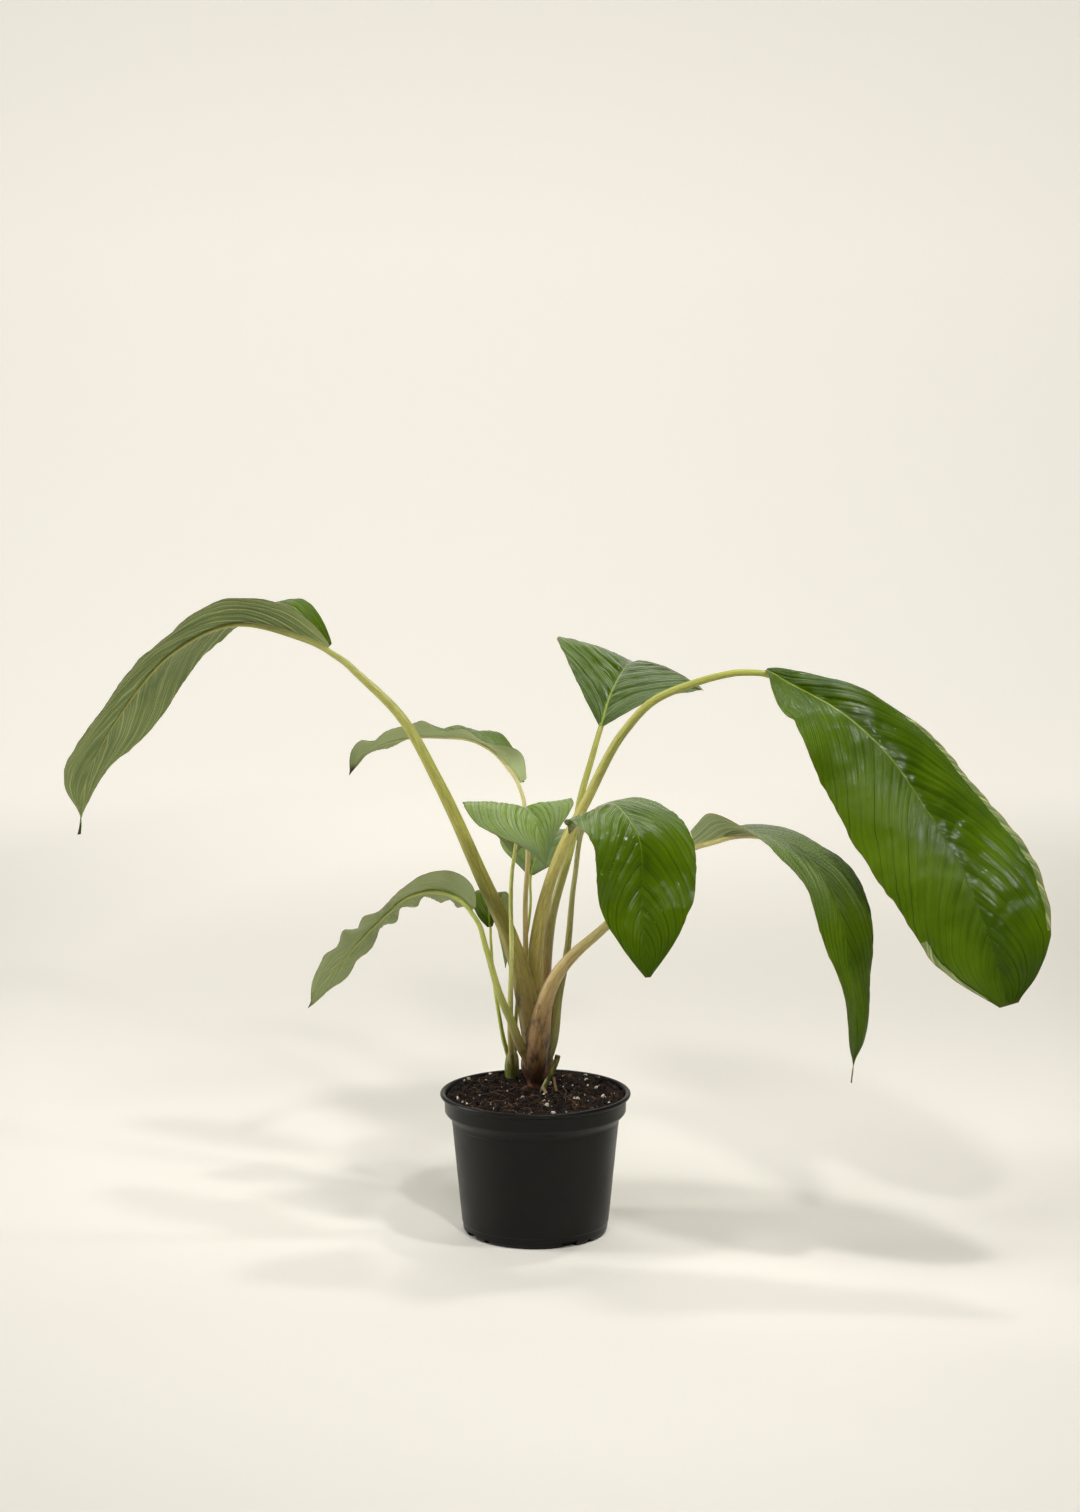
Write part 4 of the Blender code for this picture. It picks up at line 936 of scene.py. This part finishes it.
def soil_top(x, y):
    """The soil's height with its crumbs: noise of four sizes, from 9 mm down to 1 mm."""
    place = np.stack((x, y, np.zeros_like(x)), axis=-1)
    rough = sum(size * value_noise(place, cell, k) for k, (cell, size) in
                enumerate(((9.0, 1.3), (4.5, 1.1), (2.2, 0.8), (1.1, 0.5))))
    calm = smooth_step(SOIL_RADIUS, SOIL_RADIUS - 4.0, np.hypot(x, y))
    return soil_height(x, y) + np.minimum(rough * (0.4 + 0.6 * calm), 2.6)


def soil_piece(material):
    """The soil: a rough top over a plain body inside the pot's wall."""
    low = FLOOR + 0.3
    top = [(r, 0.0) for r in np.linspace(0.0, SOIL_RADIUS, SOIL_RINGS)]
    side = [(COLLAR_RADIUS - WALL - 0.3, COLLAR_BOTTOM + 0.6), (wall_radius(90.5, WALL + 0.5), 91.1),
            (wall_radius(5.0, WALL + 0.6), 5.0), (FOOT_RADIUS - 5.0, low), (0.0, low)]
    points, faces = turned(top + side, SOIL_SIDES)
    is_top = points[:, 2] == 0.0
    points[is_top, 2] = soil_top(points[is_top, 0], points[is_top, 1])
    shade = 0.25 + 0.2 * value_noise(points, 7.0, 3)
    return make_mesh("potting_soil", points, faces, [material], shade=shade)


def lump_shape(rows, around):
    """A unit ball as closed rings."""
    polar = np.linspace(0.0, np.pi, rows + 2)
    return turned(np.stack((np.sin(polar), np.cos(polar)), axis=1), around)


def from_centre(x, y, centre):
    """Distances from a crown's middle, seen from above."""
    return np.hypot(x - centre[0], y - centre[1])


def spots(rng, reach, count):
    """Random places on the soil, even over a disc, as x and y."""
    radius = np.sqrt(rng.uniform(0.0, reach**2, count))
    turn = rng.uniform(0.0, 2 * np.pi, count)
    return radius * np.cos(turn), radius * np.sin(turn)


def scattered(name, rng, count, sizes, shape, flatness, roughness, sink, material, rows=3, around=6):
    """Many small lumps on the soil: each is the unit ball, dented, stretched, turned and set down.

    sizes are the smallest and largest half length, drawn with many small and few large.
    """
    ball, faces = lump_shape(rows, around)
    x, y = spots(rng, LUMPS_REACH, count)
    clear = (from_centre(x, y, CROWN_CENTRE) > CROWN_GAP) & (from_centre(x, y, SIDE_CENTRE) > SIDE_GAP)
    x, y = x[clear], y[clear]
    count = len(x)
    size = sizes[0] * (sizes[1] / sizes[0]) ** (rng.random(count) ** 2.0)
    dents = 1.0 + roughness * rng.uniform(-1.0, 1.0, (count, len(ball)))
    stretch = size[:, None] * np.array(shape) * rng.uniform(0.75, 1.25, (count, 3))
    w, i, j, k = unit(rng.normal(size=(count, 4)) * (1.0, flatness, flatness, 1.0)).T
    matrix = np.stack((
        1 - 2 * (j * j + k * k), 2 * (i * j - k * w), 2 * (i * k + j * w),
        2 * (i * j + k * w), 1 - 2 * (i * i + k * k), 2 * (j * k - i * w),
        2 * (i * k - j * w), 2 * (j * k + i * w), 1 - 2 * (i * i + j * j)), axis=1).reshape(-1, 3, 3)
    local = ball[None] * dents[..., None] * stretch[:, None]
    centre = np.stack((x, y, soil_top(x, y) + sink * stretch[:, 2]), axis=1)
    points = (np.einsum("nij,nvj->nvi", matrix, local) + centre[:, None]).reshape(-1, 3)
    points[:, 2] = np.minimum(points[:, 2], POT_HEIGHT + 2.0)
    every = np.arange(count)[:, None] * len(ball)
    lists = []
    for corners in (3, 4):
        own = np.array([face for face in faces if len(face) == corners])
        lists += (own[None] + every[..., None]).reshape(-1, corners).tolist()
    shade = np.repeat(rng.random(count), len(ball))
    return make_mesh(name, points, lists, [material], flat=True, shade=shade)


def strands(name, rng, count, lengths, radii, material):
    """Thin bent fibres on the soil: arcs of random heading and bend, four-sided, sunk at both ends."""
    steps, around = 9, 4
    start_x, start_y = spots(rng, FIBRES_REACH, count)
    heading = rng.uniform(0.0, 2 * np.pi, (count, 1))
    heading = heading + rng.normal(0.0, 0.9, (count, 1)) * np.linspace(-1, 1, steps)
    length = rng.uniform(*lengths, (count, 1)) / steps
    x = start_x[:, None] + np.cumsum(np.cos(heading) * length, axis=1)
    y = start_y[:, None] + np.cumsum(np.sin(heading) * length, axis=1)
    keep = np.hypot(x, y).max(axis=1) < FIBRES_EDGE
    keep &= from_centre(x, y, CROWN_CENTRE).min(axis=1) > CROWN_GAP - 1.0
    x, y, heading = x[keep], y[keep], heading[keep]
    hump = np.sin(np.pi * np.linspace(0.0, 1.0, steps)) * rng.uniform(0.3, 2.0, (len(x), 1)) - 0.2
    ground = soil_top(x.ravel(), y.ravel()).reshape(x.shape) * 0.4 + 0.6 * soil_height(x, y)
    z = np.minimum(ground + hump + 0.7, POT_HEIGHT + 1.0)
    size = rng.uniform(*radii, (len(x), 1)) * np.sqrt(np.sin(np.pi * np.linspace(0.04, 0.96, steps)))
    sideways = np.stack((-np.sin(heading), np.cos(heading), 0 * heading), axis=-1)
    place = np.stack((x, y, z), axis=-1)
    rings = rings_round(place, sideways, np.array((0, 0, 1.0)), size[..., None], around)
    parts = [closed_tube(ring) for ring in rings]
    shade = np.repeat(rng.random(len(parts)), steps * around + 2)
    return make_mesh(name, *joined(parts), [material], shade=shade)


def crown_piece(name, crown, centre, profile, codes, material):
    """A rootstock, turned and made uneven, with the stalks' feet that grow out of it.

    The feet are tubes that end a little past where the free stalks begin.
    """
    pieces = []
    for seed, leaf in enumerate(LEAVES.values()):
        if leaf["crown"] == crown:
            line = LeafLine(leaf)
            end = line.run_at_height(leaf["leaves_at"])
            run = np.append(np.arange(0.0, end + 0.4, SHEATH_STEP), end + 0.5)
            pieces.append(stalk_parts(leaf, line, run, SHEATH_SIDES, seed, 0.03))
    corners = np.asarray(profile)
    fine = smooth_values(np.linspace(0.0, 1.0, len(corners)), corners, np.linspace(0.0, 1.0, 60))
    fine[:, 0] = np.maximum(fine[:, 0], 0.0)
    points, faces = turned(fine, CROWN_SIDES, centre)
    out = points - (centre[0], centre[1], 0.0)
    out[:, 2] = 0.0
    points = points + out * (0.09 * value_noise(points * (1, 1, 0.5), 5.0, 11))[:, None]
    low, high = (np.array(hex_colour(code)[:3]) for code in codes)
    share = smooth_step(*CROWN_FADE, points[:, 2])[:, None]
    turn = np.arctan2(out[:, 1], out[:, 0]) / (2 * np.pi) % 1.0
    flow = np.stack((points[:, 2], turn, np.hypot(out[:, 0], out[:, 1])), axis=1)
    pieces.append(((points, faces), low * (1 - share) + high * share, flow))
    parts, colours, flows = zip(*pieces)
    return make_mesh(name, *joined(parts), [material],
                     tint=np.concatenate(colours), flow=np.concatenate(flows))


def bent_tube(points, radii, around, rows, seed, dents=0.06):
    """A tube along a smooth line, its radius uneven; returns its points, faces and share along."""
    run = np.linspace(0.0, 1.0, rows)
    place = smooth_values(np.linspace(0.0, 1.0, len(points)), points, run)
    ahead = unit(np.gradient(place, axis=0))
    side = unit(np.cross(ahead, (0.0, 1.0, 0.0)))
    turn = circle(around)
    radius = np.interp(run, np.linspace(0, 1, len(radii)), radii)[:, None]
    flow = np.broadcast_arrays(run[:, None] * 8, np.cos(turn), np.sin(turn))
    noise = value_noise(np.stack(flow, axis=-1).reshape(-1, 3), 0.8, seed).reshape(rows, around)
    rings = rings_round(place, side, np.cross(ahead, side), radius * (1 + dents * noise), around)
    return *closed_tube(rings), closed_values(np.repeat(run, around), rows, around)


# Studio

# How far right of the pot's axis the camera stands, in metres, and its sensor's width in mm
CAMERA_ASIDE = 0.00369
SENSOR = 36.0
# How bright the camera sees the world past the paper, and how much of its colour the paper keeps
# away from the plant: painted shade for the lamps' falloff
SEEN_LIGHT = 0.86
PAINTED_FALLOFF = 0.81
LAMP_COLOUR = (1.0, 0.985, 0.965)
DAY_COLOUR = (1.0, 0.97, 0.9, 1.0)
GLOW_COLOUR = (1.0, 0.965, 0.87, 1.0)
# Each light: name, place, what it points at and size in metres, power in watts
SOFTBOXES = (
    ("left", (-1.8, 0.2, 2.5), (0.0, 0.0, 0.1), (0.4, 0.4), 13.0),
    ("near", (0.5, -0.4, 1.45), (0.15, 0.0, 0.1), (0.11, 0.11), 5.2),
    ("front", (0.32, -1.22, 1.25), (0.0, 0.3, 0.2), (0.12, 0.12), 7.6),
    ("side", (-2.6, 0.1, 0.8), (0.0, 0.0, 0.2), (0.6, 0.9), 40.0),
    ("back", (0.0, 1.7, 2.3), (0.0, 0.4, 0.0), (1.8, 0.9), 13.0),
    ("top", (-0.2, -1.5, 2.4), (0.0, 0.0, 0.3), (0.7, 0.5), 9.0),
    ("overhead", (0.55, 0.3, 1.6), (0.1, 0.0, 0.3), (0.11, 0.11), 4.6),
)


def paper_material(look):
    """Matte backdrop paper: flat and pale, with painted shade that dims it away from the plant, and a
    painted glow far behind in place of lamps.
    """
    paper, tree, shader = new_material(
        "matte_backdrop_paper", Roughness=0.9, IOR=1.45, Specular_IOR_Level=0.15)
    place = add(tree, "TexCoord").outputs["Object"]
    depth = add(tree, "SeparateXYZ", {0: place}).outputs["Y"]
    oval = add(tree, "Mapping", {
        "Vector": place, "Location": (0.0, -0.63, 0.0), "Scale": (1.3, 0.7, 0.3)})
    away = add(tree, "VectorMath", {0: oval}, operation="LENGTH").outputs["Value"]
    # Painted shade: the paper is dimmer away from the plant, where the lamps' light would fall off
    shade = add(tree, "MapRange", {"Value": away, "From Min": 0.7, "From Max": 1.15})
    paint, painted_falloff = (tuple(share * value for value in look.backdrop) + (1.0,) for share in (1.0, PAINTED_FALLOFF))
    # Painted light: the paper glows far behind, standing in for lamps on the wall
    glow = add(tree, "MapRange", {
        "Value": depth, "From Min": 0.7, "From Max": 2.6, "To Max": look.wall_light},
        interpolation_type="SMOOTHSTEP")
    skin = add(tree, "Mix", {0: shade, 6: paint, 7: painted_falloff}, data_type="RGBA")
    fill(tree, shader, {
        "Base Color": skin, "Emission Strength": glow, "Emission Color": GLOW_COLOUR})
    return paper


def backdrop_piece(look):
    """A paper sweep: a flat floor that bends up into a wall, as one sheet."""
    bend = np.linspace(0.0, np.pi / 2, 40)
    front, radius, wall, height = -900.0, 900.0, 3400.0, 4200.0
    y = np.concatenate(([front], wall - radius + radius * np.sin(bend), [wall]))
    z = np.concatenate(([0.0], radius - radius * np.cos(bend), [height]))
    x = np.linspace(-1600.0, 1600.0, 3)
    points = np.stack(np.broadcast_arrays(x[None], y[:, None], z[:, None]), axis=-1)
    return make_mesh(
        "backdrop", points.reshape(-1, 3), grid_faces(len(y), 3).tolist(), [paper_material(look)])


# Settings

class PotLook(bpy.types.PropertyGroup):
    """The nursery pot."""

    sides: bpy.props.IntProperty(name="Sides", description="Faces around the pot", default=240, min=24)
    colour: bpy.props.FloatVectorProperty(
        name="Colour", description="Colour of the plastic", subtype="COLOR",
        default=hex_colour("#0b0b0a")[:3])
    roughness: bpy.props.FloatProperty(
        name="Roughness", description="0 is mirror smooth, 1 is chalky", default=0.36, min=0.0, max=1.0)


class SoilLook(bpy.types.PropertyGroup):
    """The potting mix and what lies on it."""

    crumbs: bpy.props.IntProperty(name="Crumbs", description="Small peat crumbs", default=1500, min=0)
    chips: bpy.props.IntProperty(name="Bark chips", description="Flat pieces of bark", default=230, min=0)
    perlite: bpy.props.IntProperty(name="Perlite", description="White grains", default=210, min=0)
    fibres: bpy.props.IntProperty(name="Fibres", description="Thin peat fibres", default=170, min=0)


class LeafLook(bpy.types.PropertyGroup):
    """The leaf blades."""

    grid_step: bpy.props.FloatProperty(
        name="Grid step", description="Space between the points of a blade's surface", default=1.2 * MM,
        unit="LENGTH", min=0.5 * MM)
    thickness: bpy.props.FloatProperty(
        name="Thickness", description="Thickness of a blade at its rib", default=0.5 * MM, unit="LENGTH")
    pleats: bpy.props.FloatProperty(
        name="Pleats", description="Depth of the folds between side veins, times each leaf's own",
        default=1.0)
    dark: bpy.props.FloatVectorProperty(
        name="Dark green", description="Darkest green of the upper face", subtype="COLOR",
        default=hex_colour("#334c00")[:3])
    light: bpy.props.FloatVectorProperty(
        name="Light green", description="Lightest green of the upper face", subtype="COLOR",
        default=hex_colour("#688700")[:3])
    gloss: bpy.props.FloatProperty(
        name="Roughness", description="Roughness of the upper face", default=0.13, min=0.0, max=1.0)


class StudioLook(bpy.types.PropertyGroup):
    """Camera, backdrop and lights."""

    distance: bpy.props.FloatProperty(
        name="Camera distance", description="From the pot's axis to the camera", default=2.3, unit="LENGTH")
    height: bpy.props.FloatProperty(
        name="Camera height", description="Above the floor", default=0.6903, unit="LENGTH")
    tilt: bpy.props.FloatProperty(
        name="Camera tilt", description="How far it looks down", subtype="ANGLE",
        default=math.radians(7.62))
    lens: bpy.props.FloatProperty(
        name="Lens", description="Focal length on a 36 mm sensor, in millimetres", default=70.38)
    backdrop: bpy.props.FloatVectorProperty(
        name="Backdrop", description="Colour of the paper sweep", subtype="COLOR",
        default=hex_colour("#ece9e0")[:3])
    # The paper's glow far behind is painted light, not a lamp
    wall_light: bpy.props.FloatProperty(
        name="Backdrop light", description="Brightness of the backdrop's own lighting, far behind",
        default=0.48)
    daylight: bpy.props.FloatProperty(
        name="Fill light", description="Strength of the even light from all around",
        default=0.17, min=0.0)


# Operators

class BATFLOWER_OT_pot(bpy.types.Operator):
    """Builds the pot: its wall turned from one profile, with drain notches cut in its foot"""

    bl_idname = "batflower.pot"
    bl_label = "Pot"

    def execute(self, context):
        finish_piece(pot_piece(context.scene.batflower_pot), "pot_plastic", "pot")
        return {"FINISHED"}


class BATFLOWER_OT_soil(bpy.types.Operator):
    """Builds the soil with its crumbs, bark chips, white grains and fibres"""

    bl_idname = "batflower.soil"
    bl_label = "Soil"

    def execute(self, context):
        look = context.scene.batflower_soil
        rng = np.random.default_rng(7)
        peat = grain_material("damp_peat", "#0a0604", "#2c1d13", 0.95, 420.0, 0.6)
        bark = grain_material("pine_bark", "#150c07", "#4f3725", 0.85, 300.0, 0.4)
        white = grain_material("expanded_perlite", "#8f7f68", "#efe6d2", 0.9, 700.0, 0.25)
        fibre = grain_material("peat_fibre", "#24160d", "#6e5036", 0.85, 300.0, 0.1)
        finish_piece(soil_piece(peat), "soil", "soil")
        loose = (
            scattered("peat_crumbs", rng, look.crumbs, (0.5, 2.8), (1.1, 0.9, 0.7), 1.0, 0.4, 0.3, peat),
            scattered("bark_chips", rng, look.chips, (0.9, 4.2), (1.3, 0.6, 0.3), 0.35, 0.25, 0.5, bark),
            scattered("perlite_grains", rng, look.perlite, (0.35, 2.0), (1.0, 0.9, 0.7), 1.0, 0.32, 0.35,
                      white, rows=4, around=7),
            strands("peat_fibres", rng, look.fibres, (6.0, 26.0), (0.12, 0.4), fibre),
        )
        for piece in loose:
            finish_piece(piece, "soil")
        return {"FINISHED"}


class BATFLOWER_OT_crowns(bpy.types.Operator):
    """Builds both crowns with the stalks' feet, the old stub and the roots"""

    bl_idname = "batflower.crowns"
    bl_label = "Crowns"

    def execute(self, context):
        sheath = stalk_material("stalk_sheath", 0.42, 0.85, 0.6)
        main = crown_piece(
            "main_crown", "crown", CROWN_CENTRE, CROWN_PROFILE, ("#7a523e", "#8a6244"), sheath)
        finish_piece(main, "crown", "crown")
        shoot = stalk_material("young_sheath", 0.4, 0.35, 0.4)
        side = crown_piece(
            "side_shoot", "side_crown", SIDE_CENTRE, SIDE_PROFILE, ("#6a7030", "#8a9440"), shoot)
        finish_piece(side, "side_crown", "side_crown")
        points, faces, share = bent_tube(STUB, (2.5, 2.3, 2.2), 20, 30, 4)
        fresh, dry = (np.array(hex_colour(code)[:3]) for code in ("#8c8a48", "#5c4028"))
        blend = smooth_step(0.86, 1.0, share)[:, None]
        flow = np.stack((share * 37.0, 0 * share, 2.3 + 0 * share), axis=1)
        tint = fresh * (1 - blend) + dry * blend
        stub = make_mesh("cut_stub", points, faces, [sheath], tint=tint, flow=flow)
        finish_piece(stub, "cut_stub", "old_stub")
        root = grain_material("root_skin", "#5a4028", "#a48a66", 0.8, 500.0, 0.1)
        for seed, (name, line) in enumerate(ROOTS.items()):
            points, faces, share = bent_tube(line, (1.3, 1.2, 0.9), 14, 24, seed, 0.12)
            piece = make_mesh("pale_" + name, points, faces, [root], shade=0.4 + 0.4 * share)
            finish_piece(piece, "root", name)
        return {"FINISHED"}


class BATFLOWER_OT_stalks(bpy.types.Operator):
    """Builds the free stalks, which run on under the blades as their raised ribs"""

    bl_idname = "batflower.stalks"
    bl_label = "Stalks"

    def execute(self, context):
        skin = stalk_material("stalk_skin", 0.38)
        for seed, (name, leaf) in enumerate(LEAVES.items()):
            piece = stalk_piece("leaf_stalk_" + name, leaf, [skin], seed)
            finish_piece(piece, "stalk", "stalk_" + name)
        return {"FINISHED"}


class BATFLOWER_OT_blades(bpy.types.Operator):
    """Builds the leaf blades with their veins and folds"""

    bl_idname = "batflower.blades"
    bl_label = "Blades"

    def execute(self, context):
        look = context.scene.batflower_leaf
        dark, light = (tuple(colour) + (1.0,) for colour in (look.dark, look.light))
        # The upper face's dark vein colour, #1a3300, is painted shade in the sunken veins
        upper = blade_material(
            "leaf_upper_cuticle", dark, light, hex_colour("#1a3300"), hex_colour("#9aad3c"),
            hex_colour("#5a5a24"), look.gloss, 0.5, True)
        under = blade_material(
            "leaf_underside", hex_colour("#4c6030"), hex_colour("#8c9c62"), hex_colour("#b4bf80"),
            hex_colour("#bcc070"), hex_colour("#8a6f4a"), 0.42, 0.5, False)
        for seed, (name, leaf) in enumerate(LEAVES.items()):
            piece = blade_piece("leaf_blade_" + name, leaf, look, [upper, under], 10 * seed)
            finish_piece(piece, "blade", "blade_" + name)
        return {"FINISHED"}


class BATFLOWER_OT_studio(bpy.types.Operator):
    """Sets up the camera, the paper sweep and the lights"""

    bl_idname = "batflower.studio"
    bl_label = "Studio"

    def execute(self, context):
        look = context.scene.batflower_studio
        scene = context.scene
        lens = bpy.data.cameras.new("camera")
        lens.lens = look.lens
        lens.sensor_width = SENSOR
        camera = bpy.data.objects.new("camera", lens)
        camera.location = (CAMERA_ASIDE, -look.distance, look.height)
        camera.rotation_euler = (math.pi / 2 - look.tilt, 0.0, 0.0)
        scene.collection.objects.link(camera)
        scene.camera = camera
        scene.view_settings.view_transform = "Standard"

        backdrop_piece(look)

        world = bpy.data.worlds.new("studio")
        world.use_nodes = True
        tree = world.node_tree
        seen = add(tree, "LightPath").outputs["Is Camera Ray"]
        strength = add(tree, "MapRange", {"Value": seen, "To Min": look.daylight, "To Max": SEEN_LIGHT})
        fill(tree, tree.nodes["Background"], {"Strength": strength, "Color": DAY_COLOUR})
        scene.world = world
        for name, place, target, size, power in SOFTBOXES:
            light = bpy.data.lights.new(name, "AREA")
            light.shape = "RECTANGLE"
            light.size, light.size_y = size
            light.energy = power
            light.color = LAMP_COLOUR
            lamp = bpy.data.objects.new(name, light)
            lamp.location = place
            lamp.rotation_euler = (Vector(target) - Vector(place)).to_track_quat("-Z", "Y").to_euler()
            lamp.visible_camera = False
            scene.collection.objects.link(lamp)
        return {"FINISHED"}


class BATFLOWER_PT_panel(bpy.types.Panel):
    """Lists the settings and the steps"""

    bl_idname = "BATFLOWER_PT_panel"
    bl_label = "Bat flower"
    bl_space_type = "VIEW_3D"
    bl_region_type = "UI"
    bl_category = "Bat flower"

    def draw(self, context):
        for group in SETTINGS:
            box = self.layout.box()
            box.label(text=group.__doc__)
            values = getattr(context.scene, SETTINGS[group])
            for name in group.__annotations__:
                box.prop(values, name)
        for step in STEPS:
            self.layout.operator(step.bl_idname)


SETTINGS = {
    PotLook: "batflower_pot",
    SoilLook: "batflower_soil",
    LeafLook: "batflower_leaf",
    StudioLook: "batflower_studio",
}
STEPS = (
    BATFLOWER_OT_studio,
    BATFLOWER_OT_pot,
    BATFLOWER_OT_soil,
    BATFLOWER_OT_crowns,
    BATFLOWER_OT_stalks,
    BATFLOWER_OT_blades,
)


def register():
    for group, name in SETTINGS.items():
        bpy.utils.register_class(group)
        setattr(bpy.types.Scene, name, bpy.props.PointerProperty(type=group))
    for step in STEPS:
        bpy.utils.register_class(step)
    bpy.utils.register_class(BATFLOWER_PT_panel)


def unregister():
    bpy.utils.unregister_class(BATFLOWER_PT_panel)
    for step in reversed(STEPS):
        bpy.utils.unregister_class(step)
    for group, name in SETTINGS.items():
        delattr(bpy.types.Scene, name)
        bpy.utils.unregister_class(group)


def main():
    register()
    bpy.ops.batflower.studio()
    bpy.ops.batflower.pot()
    bpy.ops.batflower.soil()
    bpy.ops.batflower.crowns()
    bpy.ops.batflower.stalks()
    bpy.ops.batflower.blades()
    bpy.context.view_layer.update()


if __name__ == "__main__":
    main()
